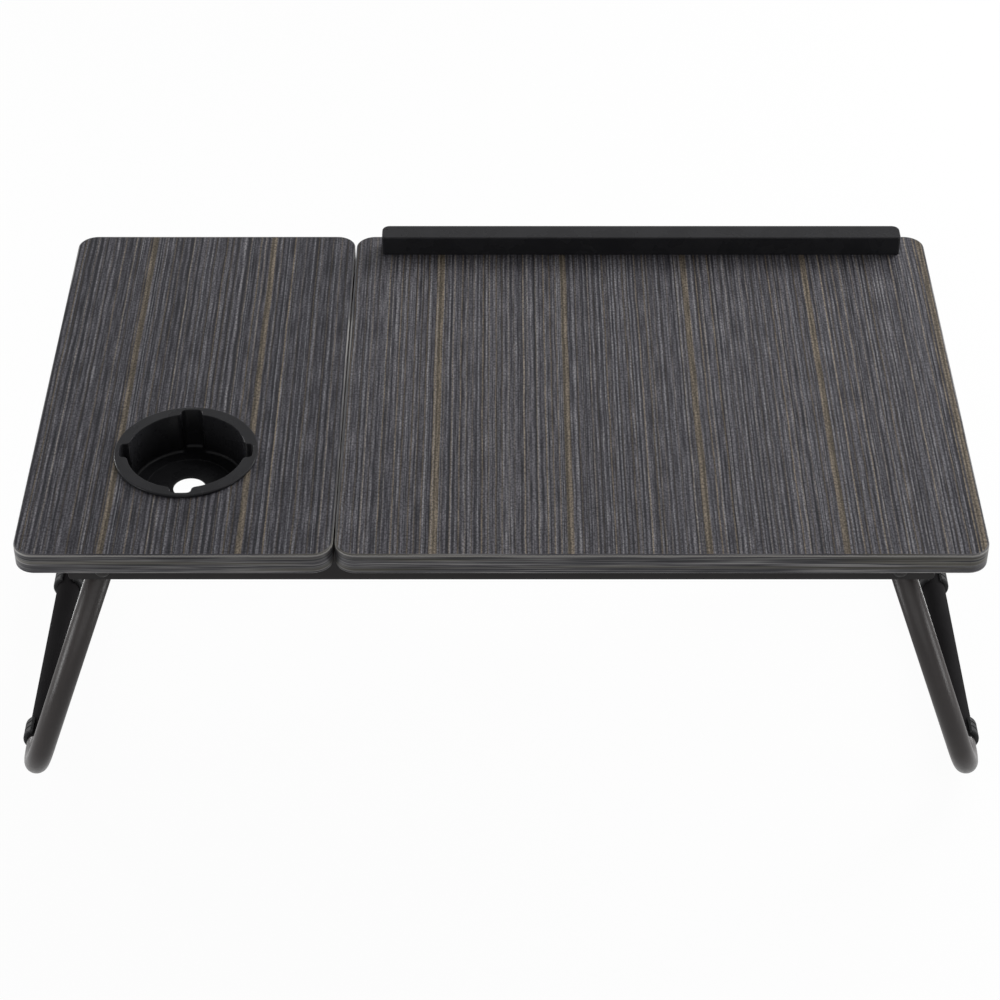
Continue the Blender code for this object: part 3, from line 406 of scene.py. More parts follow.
def fitted(name, bm, finishes, smooth_angle=35):
    """The piece that stands for a CAD node of that name, on its body."""
    mesh = bpy.data.meshes.new(f"{name}.finished")
    bm.to_mesh(mesh)
    bm.free()
    for finish in finishes:
        mesh.materials.append(finish)
    mesh.shade_smooth()
    mesh.set_sharp_from_angle(angle=math.radians(smooth_angle))
    piece = bpy.data.objects.new(f"{name}.finished", mesh)
    bpy.context.scene.collection.objects.link(piece)
    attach(piece, frame["nodes"][name]["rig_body"])
    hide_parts(name)
    return piece


def even_shading(piece):
    """Flat faces stay flat to the eye beside their rounded edges."""
    step = piece.modifiers.new("Shading", "WEIGHTED_NORMAL")
    step.keep_sharp = True
    return piece


# Finishes

def add(tree, kind, inputs=None, **settings):
    """A shader node with its settings; an input is a value or another node's output."""
    made = tree.nodes.new(f"ShaderNode{kind}")
    for name, value in settings.items():
        setattr(made, name, value)
    for name, value in (inputs or {}).items():
        if isinstance(value, bpy.types.NodeSocket):
            tree.links.new(value, made.inputs[name])
        else:
            made.inputs[name].default_value = value
    return made


def calc(tree, operation, *values, clamp=False):
    inputs = dict(enumerate(values))
    return add(tree, "Math", inputs, operation=operation, use_clamp=clamp).outputs[0]


def new_finish(name, specular, roughness, metallic=0.0):
    """A material's name, tree and shader, with its constants set."""
    finish = bpy.data.materials.new(name)
    finish.use_nodes = True
    shader = finish.node_tree.nodes["Principled BSDF"]
    shader.inputs["Specular IOR Level"].default_value = specular
    shader.inputs["Roughness"].default_value = roughness
    shader.inputs["Metallic"].default_value = metallic
    return finish, finish.node_tree, shader


def object_place(tree):
    return add(tree, "TexCoord").outputs["Object"]


def noise(tree, scale, detail=0.0, roughness=0.5, shift=(0, 0, 0)):
    """Noise on object coordinates, scale in cycles per metre along X, Y and Z."""
    placed = add(tree, "Mapping", {"Vector": object_place(tree), "Location": shift, "Scale": scale})
    inputs = {"Vector": placed.outputs[0], "Scale": 1.0, "Detail": detail, "Roughness": roughness}
    return add(tree, "TexNoise", inputs).outputs[0]


def between(tree, value, low, high, to_low=0.0, to_high=1.0, smooth=True):
    """A value mapped from one range to another, held at the ends."""
    inputs = {"Value": value, "From Min": low, "From Max": high,
              "To Min": to_low, "To Max": to_high}
    kind = "SMOOTHSTEP" if smooth else "LINEAR"
    return add(tree, "MapRange", inputs, interpolation_type=kind, clamp=True).outputs[0]


def shades(tree, factor, stops):
    """A colour ramp with (place, colour) stops."""
    ramp = add(tree, "ValToRGB", {0: factor})
    elements = ramp.color_ramp.elements
    while len(elements) < len(stops):
        elements.new(0.5)
    for element, (place, colour) in zip(elements, stops):
        element.position = place
        element.color = (*colour, 1.0)
    return ramp.outputs[0]


def blended(tree, factor, first, second, kind="MIX"):
    """Two colours mixed; each is a triple or an output."""
    values = [(*c, 1.0) if isinstance(c, tuple) else c for c in (first, second)]
    inputs = {0: factor, 6: values[0], 7: values[1]}
    return add(tree, "Mix", inputs, data_type="RGBA", blend_type=kind).outputs[2]


def bumped(tree, shader, height, distance, strength=1.0):
    made = add(tree, "Bump", {"Height": height, "Distance": distance, "Strength": strength})
    tree.links.new(made.outputs[0], shader.inputs["Normal"])


def across_grain(tree):
    """The distance along X, wavering a little as the grain does."""
    x = add(tree, "SeparateXYZ", {0: object_place(tree)}).outputs[0]
    waver = calc(tree, "SUBTRACT", noise(tree, (25, 14, 0), 2), 0.5)
    return calc(tree, "MULTIPLY_ADD", waver, 0.0016, x)


def threads(tree, place, pitch, half_width, shift):
    """Thin lines at an uneven pitch: up to 1 on a line, fainter on some, and 0 between them."""
    along = calc(tree, "MULTIPLY_ADD", place, 1 / pitch, shift)
    inputs = {"W": along, "Scale": 1.0, "Randomness": 0.75}
    cells = add(tree, "TexVoronoi", inputs, voronoi_dimensions="1D")
    share = half_width / pitch
    line = between(tree, cells.outputs["Distance"], share * 0.6, share * 1.4, 1.0, 0.0)
    own = add(tree, "SeparateColor", {0: cells.outputs["Color"]}).outputs[0]
    return calc(tree, "MULTIPLY", line, between(tree, own, 0.0, 1.0, 0.25, 1.0))


def ripple(tree, place, per_metre, shift):
    """Lines side by side at an uneven pitch, from -1 to 1."""
    drift = noise(tree, (per_metre / 4, 1.6, 0), 1, 0.5, shift)
    steady = calc(tree, "MULTIPLY", place, math.tau * per_metre)
    phase = calc(tree, "MULTIPLY_ADD", drift, RIPPLE_WANDER, steady)
    return calc(tree, "SINE", phase)


def laminate(name, brown_x, pitch, depth):
    """Charcoal laminate, its fine straight grain dark, grey, light and tan, with brown stripes."""
    finish, tree, shader = new_finish(name, 0.10, 0.48)
    place = across_grain(tree)
    lines = noise(tree, (1.3 / pitch, 1.5, 0), 2, 0.8)
    patches = noise(tree, (2.6 / pitch, 40, 0), 0, 0.5, (4, 9, 0))
    tone = calc(tree, "MULTIPLY_ADD", calc(tree, "SUBTRACT", lines, 0.5), LINE_CONTRAST, depth)
    tone = calc(tree, "MULTIPLY_ADD", calc(tree, "SUBTRACT", patches, 0.5), PATCH_CONTRAST, tone)
    fast = ripple(tree, place, 1 / pitch, (0, 0, 0))
    slow = ripple(tree, place, 0.66 / pitch, (8, 3, 0))
    tone = calc(tree, "MULTIPLY_ADD", fast, RIPPLE_CONTRAST, tone)
    tone = calc(tree, "MULTIPLY_ADD", slow, SLOW_RIPPLE_CONTRAST, tone)
    colour = shades(tree, tone, (
        (0.00, (0.0145, 0.0142, 0.0174)),
        (0.25, (0.0335, 0.0325, 0.0385)),
        (0.50, (0.0615, 0.0595, 0.0680)),
        (0.75, (0.0995, 0.0965, 0.1060)),
        (1.00, (0.1560, 0.1520, 0.1590)),
    ))
    tan = threads(tree, place, 1.65 * pitch, TAN_WIDTH, 87.3)
    tan_tone = shades(tree, tone, ((0.2, (0.070, 0.056, 0.040)), (0.8, (0.170, 0.138, 0.100))))
    colour = blended(tree, calc(tree, "MULTIPLY", tan, 0.85), colour, tan_tone)
    light = calc(tree, "MULTIPLY", threads(tree, place, 2.3 * pitch, PALE_WIDTH, 31.7), 0.6)
    colour = blended(tree, light, colour, (0.150, 0.152, 0.165))
    dark = calc(tree, "MULTIPLY", threads(tree, place, 1.25 * pitch, DARK_WIDTH, 59.1), 0.75)
    colour = blended(tree, dark, colour, (0.015, 0.015, 0.018))
    from_brown = calc(tree, "PINGPONG", calc(tree, "SUBTRACT", place, brown_x), BROWN_PITCH / 2)
    brown = between(tree, from_brown, 0.0016, 0.0024, 0.85, 0.0)
    brown_tone = shades(tree, tone, ((0.2, (0.060, 0.049, 0.035)), (0.8, (0.155, 0.126, 0.092))))
    colour = blended(tree, brown, colour, brown_tone)
    speckle = noise(tree, (760, 520, 0), 2, 0.7, (3, 7, 0))
    grain = shades(tree, speckle, ((0.36, (0.5,) * 3), (0.64, (1.5,) * 3)))
    colour = blended(tree, 1.0, colour, grain, "MULTIPLY")
    tree.links.new(colour, shader.inputs["Base Color"])
    gloss = between(tree, speckle, 0.3, 0.7, 0.42, 0.56, smooth=False)
    tree.links.new(gloss, shader.inputs["Roughness"])
    bumped(tree, shader, calc(tree, "ADD", speckle, tone), 0.00003, 0.5)
    return finish


def edge_banding():
    """Grey wood-print band: level streaks, a paler arris partly scraped, partly painted highlight.
    """
    finish, tree, shader = new_finish("edge_banding", 0.25, 0.40)
    streak = noise(tree, (11, 11, 900), 3, 0.62)
    hue = noise(tree, (6, 6, 330), 1, 0.5, (5, 2, 9))
    colour = shades(tree, streak, (
        (0.38, (0.014, 0.014, 0.017)),
        (0.47, (0.048, 0.047, 0.053)),
        (0.53, (0.098, 0.096, 0.101)),
        (0.63, (0.225, 0.220, 0.216)),
    ))
    olive = between(tree, hue, 0.55, 0.66)
    colour = blended(tree, calc(tree, "MULTIPLY", olive, 0.5), colour, (0.098, 0.092, 0.068))
    low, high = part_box("side_panel_edge_band")
    z = add(tree, "SeparateXYZ", {0: object_place(tree)}).outputs[2]
    rise = between(tree, z, low.z, high.z, smooth=False)
    print_rows = shades(tree, rise, ((0.05, (1.10,) * 3), (0.12, (0.85,) * 3), (0.22, (0.80,) * 3),
                                     (0.32, (0.58,) * 3), (0.45, (1.05,) * 3), (0.57, (1.00,) * 3),
                                     (0.68, (0.72,) * 3), (0.80, (0.50,) * 3), (0.88, (0.85,) * 3)))
    colour = blended(tree, 1.0, colour, print_rows, "MULTIPLY")
    ragged = calc(tree, "MULTIPLY_ADD", noise(tree, (900, 900, 0), 2), 0.0005, z)
    # Pale stripe under the top arris: partly scraped print, partly a painted highlight
    stripe = high.z - BAND_ARRIS_SCRAPE_AND_HIGHLIGHT
    arris = calc(tree, "MULTIPLY", between(tree, ragged, stripe, stripe + 0.0004),
                 between(tree, ragged, stripe + 0.0010, high.z, 1.0, 0.0))
    colour = blended(tree, calc(tree, "MULTIPLY", arris, 0.9), colour, (0.260, 0.252, 0.238))
    # Pale stripe along the band's foot: a painted highlight
    foot = between(tree, ragged, low.z + 0.0005, low.z + BAND_FOOT_HIGHLIGHT, 1.0, 0.0)
    colour = blended(tree, calc(tree, "MULTIPLY", foot, 0.75), colour, (0.165, 0.163, 0.158))
    tree.links.new(colour, shader.inputs["Base Color"])
    bumped(tree, shader, streak, 0.00005, 0.5)
    return finish


def fibreboard():
    """Brown pressed fibres, on the wall of the cup hole."""
    finish, tree, shader = new_finish("fibreboard", 0.2, 0.85)
    fibre = noise(tree, (900, 900, 1500), 4, 0.65)
    colour = shades(tree, fibre, ((0.3, (0.13, 0.082, 0.045)), (0.7, (0.30, 0.205, 0.125))))
    tree.links.new(colour, shader.inputs["Base Color"])
    bumped(tree, shader, fibre, 0.0002, 0.6)
    return finish


def backing():
    """The dark melamine paper under the boards, with a faint grain of its own."""
    finish, tree, shader = new_finish("melamine_backing", 0.25, 0.55)
    grain = noise(tree, (260, 9, 0), 3, 0.6)
    grit = noise(tree, (1400, 1400, 0), 2, 0.6)
    colour = shades(tree, grain, ((0.3, (0.040, 0.039, 0.040)), (0.7, (0.066, 0.064, 0.064))))
    flecks = shades(tree, grit, ((0.35, (0.030,) * 3), (0.65, (0.085,) * 3)))
    colour = blended(tree, 0.35, colour, flecks)
    tree.links.new(colour, shader.inputs["Base Color"])
    bumped(tree, shader, grit, 0.00004, 0.5)
    return finish


def moulded(name, dark, pale, specular, roughness, grit_size=1600, grit_depth=0.00003):
    """Black moulded plastic or rubber: a fine matt grain, and a slow change of gloss."""
    finish, tree, shader = new_finish(name, specular, roughness)
    cloud = noise(tree, (45, 45, 45), 3, 0.6)
    grit = noise(tree, (grit_size,) * 3, 2, 0.55)
    colour = shades(tree, blended(tree, 0.4, cloud, grit), ((0.35, dark), (0.65, pale)))
    tree.links.new(colour, shader.inputs["Base Color"])
    gloss = between(tree, cloud, 0.35, 0.65, roughness - 0.05, roughness + 0.07, smooth=False)
    tree.links.new(gloss, shader.inputs["Roughness"])
    bumped(tree, shader, grit, grit_depth, 0.5)
    return finish


def powder_coat(name, dark, pale, specular, roughness):
    """Sprayed paint: low orange peel, fine grit and a slight change of tone."""
    finish, tree, shader = new_finish(name, specular, roughness)
    peel = noise(tree, (520,) * 3, 2, 0.5)
    grit = noise(tree, (2600,) * 3, 1, 0.5)
    cloud = noise(tree, (30,) * 3, 3, 0.6)
    colour = shades(tree, blended(tree, 0.35, cloud, grit), ((0.35, dark), (0.65, pale)))
    tree.links.new(colour, shader.inputs["Base Color"])
    gloss = between(tree, peel, 0.3, 0.7, roughness - 0.04, roughness + 0.06, smooth=False)
    tree.links.new(gloss, shader.inputs["Roughness"])
    bumped(tree, shader, calc(tree, "MULTIPLY_ADD", grit, 0.3, peel), 0.00006, 0.45)
    return finish


def zinc_plate():
    """Bright zinc on steel: pale cells a few millimetres across, and fine rub marks."""
    finish, tree, shader = new_finish("zinc_plate", 0.5, 0.33, 1.0)
    cells = add(tree, "TexVoronoi", {"Vector": object_place(tree), "Scale": 420.0})
    tint = add(tree, "SeparateColor", {0: cells.outputs["Color"]}).outputs[0]
    rub = noise(tree, (2200, 300, 900), 2, 0.6)
    tone = blended(tree, 0.6, tint, rub)
    colour = shades(tree, tone, ((0.2, (0.42, 0.42, 0.41)), (0.8, (0.60, 0.60, 0.57))))
    tree.links.new(colour, shader.inputs["Base Color"])
    gloss = between(tree, rub, 0.3, 0.7, 0.26, 0.44, smooth=False)
    tree.links.new(gloss, shader.inputs["Roughness"])
    bumped(tree, shader, rub, 0.00002, 0.4)
    return finish


# Tabletop

def panel_block(name, inset):
    """The box that a panel's edge band surrounds, with round corners, drawn in by an inset."""
    low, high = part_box(f"{name}_edge_band")
    shrink = Vector((inset, inset, 0))
    bm = block(low + shrink, high - shrink)
    round_off(bm, upright_edges(bm), TOP_CORNER_RADIUS - inset, CORNER_STEPS)
    return bm, low, high


def make_panel(name, top_finish, finishes, hole=None):
    """A laminated board, drilled for the cup holder where a hole is given, and its edge band."""
    bm = panel_block(name, BAND_THICKNESS + GLUE_LINE)[0]
    if hole:
        bm = combined(bm, hole, "DIFFERENCE")
    bm.normal_update()
    for face in bm.faces:
        level = abs(face.normal.z) > 0.9
        face.material_index = 1 if not level else 0 if face.normal.z > 0 else 2
    fitted(f"{name}_board", bm, (top_finish, finishes["core"], finishes["back"]))
    make_band(name, finishes["band"])


def make_band(name, finish):
    """A thin ring round the board, with its outer arrises eased."""
    bm, low, high = panel_block(name, 0.0)
    round_off(bm, edges_at(bm, 2, high.z) + edges_at(bm, 2, low.z), BAND_ARRIS, 3)
    ends = [face for face in bm.faces if abs(face.normal.z) > 0.99]
    bmesh.ops.inset_region(bm, faces=ends, thickness=BAND_THICKNESS - BAND_ARRIS,
                           use_even_offset=True)
    inner = {edge for face in ends for edge in face.edges}
    bmesh.ops.delete(bm, geom=ends, context="FACES_ONLY")
    bmesh.ops.bridge_loops(bm, edges=list(inner))
    bmesh.ops.recalc_face_normals(bm, faces=bm.faces)
    even_shading(fitted(f"{name}_edge_band", bm, (finish,)))


def make_tabletop(finishes):
    x, y, _ = middle_of("cup_holder")
    spot = (x, y, middle_of("side_panel_board")[2])
    hole = drilled([spot], "Z", CUP_HOLE_RADIUS, -CUP_HOLE_REACH, CUP_HOLE_REACH, CUP_SIDES)
    make_panel("side_panel", finishes["side_laminate"], finishes, hole)
    make_panel("main_panel", finishes["main_laminate"], finishes)


# Cup holder

def notched_ring(bore, root, half, mouth, corner):
    """Points round the bore and its four notches, which have round corners and a flared mouth."""
    corner_v = half - corner
    corner_u = math.sqrt((root - corner) ** 2 - corner_v ** 2)
    mouth_v = half + mouth
    mouth_u = math.sqrt((bore + mouth) ** 2 - mouth_v ** 2)
    corner_angle = math.atan2(corner_v, corner_u)
    mouth_angle = math.atan2(mouth_v, mouth_u)
    side = arc((0, 0), root, 0, corner_angle, 4)[:-1]
    side += arc((corner_u, corner_v), corner, corner_angle, math.pi / 2, 4)
    side += arc((mouth_u, mouth_v), mouth, math.pi * 1.5, math.pi + mouth_angle, 6)
    side += arc((0, 0), bore, mouth_angle, math.pi / 4, 9)[1:]
    notch = [(u, -v) for u, v in side[:0:-1]] + side
    points = []
    for quarter in range(4):
        turn = Matrix.Rotation(quarter * math.pi / 2, 2)
        points += [tuple(turn @ Vector(point)) for point in notch[:-1]]
    return points


def make_cup_holder(finish):
    """A moulded cup: a rounded rim, a bore with four notches, and a drained floor."""
    centre_x, centre_y, _ = middle_of("cup_holder")
    low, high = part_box("cup_holder")
    table_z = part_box("side_panel_board")[1].z
    top = high.z
    floor = low.z + CUP_FLOOR
    rim = CUP_HOLE_RADIUS + CUP_RIM_LAP
    root = CUP_BORE_RADIUS + CUP_NOTCH_DEPTH

    def bore_ring(offset, z):
        ring = notched_ring(CUP_BORE_RADIUS + offset, root + offset, CUP_NOTCH_HALF + offset,
                            CUP_NOTCH_MOUTH - offset, CUP_NOTCH_ROOT + offset)
        return [(centre_x + x, centre_y + y, z) for x, y in ring]

    def outer_ring(offset, z):
        ring = notched_ring(CUP_BORE_RADIUS + CUP_WALL + offset, root + CUP_NOTCH_WALL + offset,
                            CUP_NOTCH_HALF + CUP_NOTCH_SIDE + offset,
                            CUP_NOTCH_MOUTH - CUP_WALL - offset,
                            CUP_NOTCH_ROOT + CUP_NOTCH_WALL + offset)
        return [(centre_x + x, centre_y + y, z) for x, y in ring]

    def round_ring(radius, z):
        angles = [math.atan2(y - centre_y, x - centre_x) for x, y, _ in bore_ring(0, 0)]
        ring = [(radius * math.cos(a), radius * math.sin(a)) for a in angles]
        return [(centre_x + x, centre_y + y, z) for x, y in ring]

    rings = [round_ring(rim - CUP_FOOT_INSET, table_z + GLUE_LINE)]
    edge_z = top - CUP_RIM_FALL - CUP_RIM_ROUNDING
    edge = arc((rim - CUP_RIM_ROUNDING, edge_z), CUP_RIM_ROUNDING, 0, math.pi / 2, 6)
    rings += [round_ring(rim, table_z + CUP_FOOT_RISE)] + [round_ring(r, z) for r, z in edge]
    lip = arc((CUP_LIP_ROUNDING, top - CUP_LIP_ROUNDING), CUP_LIP_ROUNDING, math.pi / 2, math.pi, 4)
    rings += [bore_ring(offset, z) for offset, z in lip]
    fillet = arc((-CUP_FLOOR_FILLET, floor + CUP_FLOOR_FILLET), CUP_FLOOR_FILLET,
                 0, -math.pi / 2, 5)
    rings += [bore_ring(offset, z) for offset, z in fillet]
    half = CUP_RING_WIDTH / 2
    # The floor falls towards the drain, so the ring's inner side ends lower
    bead = ((half * 2, -0.00002), (half, CUP_RING_HEIGHT),
            (-half, CUP_RING_HEIGHT - 0.00003), (-half * 2, -0.00005))
    rings += [round_ring(CUP_RING_RADIUS + r, floor + z) for r, z in bead]
    brim = (CUP_DRAIN_RADIUS + CUP_DRAIN_ROUNDING, floor - CUP_FLOOR_FALL - CUP_DRAIN_ROUNDING)
    drain = arc(brim, CUP_DRAIN_ROUNDING, math.pi / 2, math.pi, 3)
    rings += [round_ring(r, z) for r, z in drain]
    rings += [round_ring(CUP_DRAIN_RADIUS, low.z + CUP_DRAIN_ARRIS),
              round_ring(CUP_DRAIN_RADIUS + CUP_DRAIN_ARRIS * 2 / 3, low.z + CUP_DRAIN_ARRIS / 3)]
    heel = arc((-CUP_HEEL_ROUNDING, low.z + CUP_HEEL_ROUNDING), CUP_HEEL_ROUNDING,
               -math.pi / 2, 0, 4)
    rings += [outer_ring(offset, z) for offset, z in heel]
    rings += [outer_ring(0, table_z + 2 * GLUE_LINE)]
    even_shading(fitted("cup_holder", lofted(rings), (finish,), 50))


# Book ledge

def make_ledge(finish):
    """A moulded bar with round corners, hollow underneath."""
    low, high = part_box("book_ledge")
    low.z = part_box("main_panel_board")[1].z + GLUE_LINE
    bm = block(low, high)
    corners = upright_edges(bm)
    front = [edge for edge in corners if edge.verts[0].co.y < (low.y + high.y) / 2]
    back = [edge for edge in corners if edge not in front]
    round_off(bm, front, LEDGE_FRONT_RADIUS, 7)
    round_off(bm, back, LEDGE_BACK_RADIUS, 10)
    round_off(bm, edges_at(bm, 2, high.z), LEDGE_ARRIS, 5)
    base = [face for face in bm.faces if face.normal.z < -0.99]
    bmesh.ops.inset_region(bm, faces=base, thickness=LEDGE_WALL, use_even_offset=True)
    hollow = bmesh.ops.extrude_face_region(bm, geom=base)["geom"]
    bmesh.ops.delete(bm, geom=base, context="FACES_ONLY")
    bmesh.ops.translate(bm, vec=(0, 0, high.z - low.z - LEDGE_WALL),
                        verts=only(bmesh.types.BMVert, hollow))
    bmesh.ops.recalc_face_normals(bm, faces=bm.faces)
    even_shading(fitted("book_ledge", bm, (finish,)))


# Frame

def pivot_spots(side):
    """Middle of the leg rivets on the front (-1) or back (1) rail."""
    name = "front" if side < 0 else "back"
    return [Vector(middle_of(f"{name}_{end}_leg_rivet")) for end in ("left", "right")]


def make_rail(name, side, finish):
    """A folded angle, its wall outwards and its lower corners round, with a stop by each pivot."""
    low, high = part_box(name)
    face = high.y if side > 0 else low.y
    fold = arc((0, 0), RAIL_FOLD_RADIUS, 0, math.pi / 2, 5)
    inner = arc((0, 0), RAIL_FOLD_RADIUS - SHEET, math.pi / 2, 0, 3)
    heart = (abs(face) - RAIL_FOLD_RADIUS, high.z - RAIL_FOLD_RADIUS)
    outline = [(abs(face), low.z)] + [(heart[0] + y, heart[1] + z) for y, z in fold]
    outline += [(abs(face) - RAIL_FLANGE, high.z), (abs(face) - RAIL_FLANGE, high.z - SHEET)]
    outline += [(heart[0] + y, heart[1] + z) for y, z in inner] + [(abs(face) - SHEET, low.z)]
    bm = prism([(side * y, z) for y, z in outline], "X", low.x, high.x)
    ends = [edge for edge in edges_at(bm, 2, low.z) if run(edge, 0) < WELD]
    round_off(bm, ends, RAIL_CORNER_RADIUS, 8)
    soften(bm, SHEET_ARRIS)
    inner_y = side * (abs(face) - SHEET)
    for spot in pivot_spots(side):
        reach = math.copysign(leg_stop_reach(spot.z - low.z), spot.x)
        stop_xs = sorted((spot.x + reach, spot.x + reach + math.copysign(STOP_THICKNESS, spot.x)))
        stop_ys = sorted((inner_y + side * SHEET / 2, inner_y - side * STOP_REACH))
        stop = block((stop_xs[0], stop_ys[0], low.z + STOP_RAISE),
                     (stop_xs[1], stop_ys[1], high.z - SHEET / 2))
        soften(stop, SHEET_ARRIS)
        bm = combined(bm, stop, "UNION")
    spots = [(spot.x, inner_y, spot.z) for spot in pivot_spots(side)]
    holes = drilled(spots, "Y", LEG_RIVET_RADIUS + GAP, -RAIL_BORE_REACH, RAIL_BORE_REACH)
    bm = combined(bm, holes, "DIFFERENCE")
    even_shading(fitted(name, bm, (finish,)))


def leg_stop_reach(drop):
    """How far outside the pivot the stop stands: where the open strut passes the rail's foot."""
    return (TUBE_RADIUS + GAP) / math.cos(LEG_SPLAY) + (drop - STOP_RAISE) * math.tan(LEG_SPLAY)


def make_cross_member(name, finish):
    """A pressed channel: its ends lie under the rails, and its middle is lower and walled."""
    low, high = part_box(name)
    web = high.z - MEMBER_DROP
    flat_y = high.y
    flange_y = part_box("back_rail")[1].y - RAIL_FLANGE
    high_y = flange_y - SHEET
    low_y = high_y - MEMBER_DROP
    shift = SHEET * math.tan(MEMBER_BEND / 2)
    half = [(flat_y, high.z - SHEET), (high_y + shift, high.z - SHEET),
            (low_y + shift, web - SHEET), (low_y - SHEET, web - SHEET), (low_y - SHEET, low.z)]
    upper = [(flat_y, high.z), (high_y, high.z), (low_y, web)]
    outline = half + [(-y, z) for y, z in reversed(half)]
    outline += [(-y, z) for y, z in upper] + upper[::-1]
    bm = prism(outline, "X", low.x, high.x)
    bends = [edge for y in (high_y, low_y, -high_y, -low_y) for edge in edges_at(bm, 1, y)
             if run(edge, 0) > WELD]
    round_off(bm, bends, MEMBER_BEND_RADIUS, 4)
    brims = [edge for x in (low.x, high.x) for edge in edges_at(bm, 0, x)
             if all(abs(v.co.z - web) < WELD for v in edge.verts)]
    round_off(bm, brims, MEMBER_FOLD_RADIUS, 4)
    pocket_y = low_y - 2 * SHEET
    pocket = block((low.x + SHEET, -pocket_y, low.z - MEMBER_DEPTH),
                   (high.x - SHEET, pocket_y, web - SHEET))
    bm = combined(bm, pocket, "DIFFERENCE")
    even_shading(fitted(name, bm, (finish,)))


def make_rack(name, finish):
    """A moulded strip with a round-bottomed notch for each tilt step, on two barbed pegs."""
    low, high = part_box(name)
    top = high.z
    root = top - RACK_THICKNESS
    centre_z = top + NOTCH_RADIUS - NOTCH_DEPTH
    lift = math.asin((NOTCH_RADIUS - NOTCH_DEPTH) / NOTCH_RADIUS)
    hinge_y = middle_of("left_hinge_pin")[1]
    arm = (hinge_y - (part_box("support_bail")[0].y + WIRE_RADIUS)) / 2
    outline = [(high.y, root), (low.y, root), (low.y, top)]
    for tilt in TILT_STEPS:
        tip = hinge_y - 2 * arm * math.cos(math.radians(tilt))
        outline += arc((tip, centre_z), NOTCH_RADIUS, math.pi + lift, math.tau - lift, 10)
    outline.append((high.y, top))
    bm = prism(outline, "X", low.x, high.x)
    soften(bm, RACK_ARRIS)
    tip_z = low.z - root
    profile = [(0, PEG_ROOT), (PEG_RADIUS, PEG_ROOT), (PEG_RADIUS, -PEG_LENGTH),
               (BARB_RADIUS, -PEG_LENGTH), (BARB_RADIUS - BARB_TAPER, -PEG_LENGTH - BARB_SKIRT),
               (PEG_TIP_RADIUS, tip_z), (0, tip_z)]
    peg_ys = (low.y + PEG_PLACE, high.y - PEG_PLACE)
    pegs = gathered([turned(profile, (middle_of(name)[0], y, root), "Z") for y in peg_ys])
    bm = combined(bm, pegs, "UNION")
    even_shading(fitted(name, bm, (finish,)))


# Legs

def make_leg(side_name, side, finish, bar_shade_finish):
    """One bent tube, both ends open: a strut, the ground bar in painted shade, the other strut."""
    name = f"{side_name}_leg_tube"
    strut_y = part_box(name)[1].y - TUBE_RADIUS
    pivot_z = middle_of(f"front_{side_name}_leg_rivet")[2]
    corners = [(0, -strut_y, TUBE_PAST_PIVOT), (0, -strut_y, -LEG_LENGTH),
               (0, strut_y, -LEG_LENGTH), (0, strut_y, TUBE_PAST_PIVOT)]
    bm = bent_bar(corners, TUBE_BEND, TUBE_RADIUS, 40, 24)
    for face in bm.faces:
        middle = face.calc_center_median()
        # Faces of the ground bar take a darker copy of the leg paint: painted shade
        in_shaded_bar = middle.z < TUBE_BEND - LEG_LENGTH and abs(middle.y) < strut_y - TUBE_BEND
        face.material_index = int(in_shaded_bar)
    splay = Matrix.Rotation(-side * LEG_SPLAY, 4, "Y")
    stand = Matrix.Translation((side * PIVOT_X, 0, pivot_z)) @ splay
    bmesh.ops.transform(bm, matrix=stand, verts=bm.verts)
    tube = fitted(name, bm, (finish, bar_shade_finish), 60)
    wall = tube.modifiers.new("Wall", "SOLIDIFY")
    wall.thickness = TUBE_WALL
    wall.offset = -1


def make_foot_pad(name, finish):
    """A clip round the ground bar: flat sole, rounded ends, and a shallow groove near each end."""
    low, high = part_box(name)
    centre_x = middle_of(name)[0]
    centre_z = high.z - (TUBE_RADIUS + GAP + FOOT_WALL) * math.sin(FOOT_GRIP)
    inner = TUBE_RADIUS + GAP

    def section(shrink, y):
        outer = inner + FOOT_WALL - shrink
        sole = FOOT_SOLE_WIDTH / 2 - shrink
        outline = arc((0, 0), inner, FOOT_GRIP, -math.pi - FOOT_GRIP, 28)
        outline += arc((0, 0), outer, math.pi - FOOT_GRIP, math.pi + FOOT_SOLE_BLEND, 9)
        outline += [(-sole, -centre_z), (sole, -centre_z)]
        outline += arc((0, 0), outer, -FOOT_SOLE_BLEND, FOOT_GRIP, 9)
        return [(centre_x + x, y, centre_z + z) for x, z in outline]

    steps = arc((FOOT_END_ROUNDING,) * 2, FOOT_END_ROUNDING, math.pi, math.pi * 1.5, 4)
    half = FOOT_GROOVE_WIDTH / 2
    steps += [(FOOT_GROOVE_PLACE - half, 0), (FOOT_GROOVE_PLACE - half / 2, FOOT_GROOVE_DEPTH),
              (FOOT_GROOVE_PLACE + half / 2, FOOT_GROOVE_DEPTH), (FOOT_GROOVE_PLACE + half, 0)]
    whole = [(low.y + along, shrink) for along, shrink in steps]
    whole += [(high.y - along, shrink) for along, shrink in reversed(steps)]
    bm = lofted([section(shrink, y) for y, shrink in whole], capped=True)
    even_shading(fitted(name, bm, (finish,), 50))


def make_leg_rivet(name, end, finish):
    """A round head outside the rail, and a tail peened over inside the strut."""
    low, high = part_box(name)
    x, _, z = middle_of(name)
    length = high.y - low.y
    head_radius, head = LEG_RIVET_HEAD
    tail_radius, tail = LEG_RIVET_TAIL
    profile = dome(head_radius, -head, head, 7) + [(LEG_RIVET_RADIUS, head)]
    profile += [(LEG_RIVET_RADIUS, length - tail)] + dome(tail_radius, tail, length - tail, 7)[::-1]
    base = (x, high.y if end > 0 else low.y, z)
    fitted(name, turned(profile, base, "Y", 32, -end), (finish,))


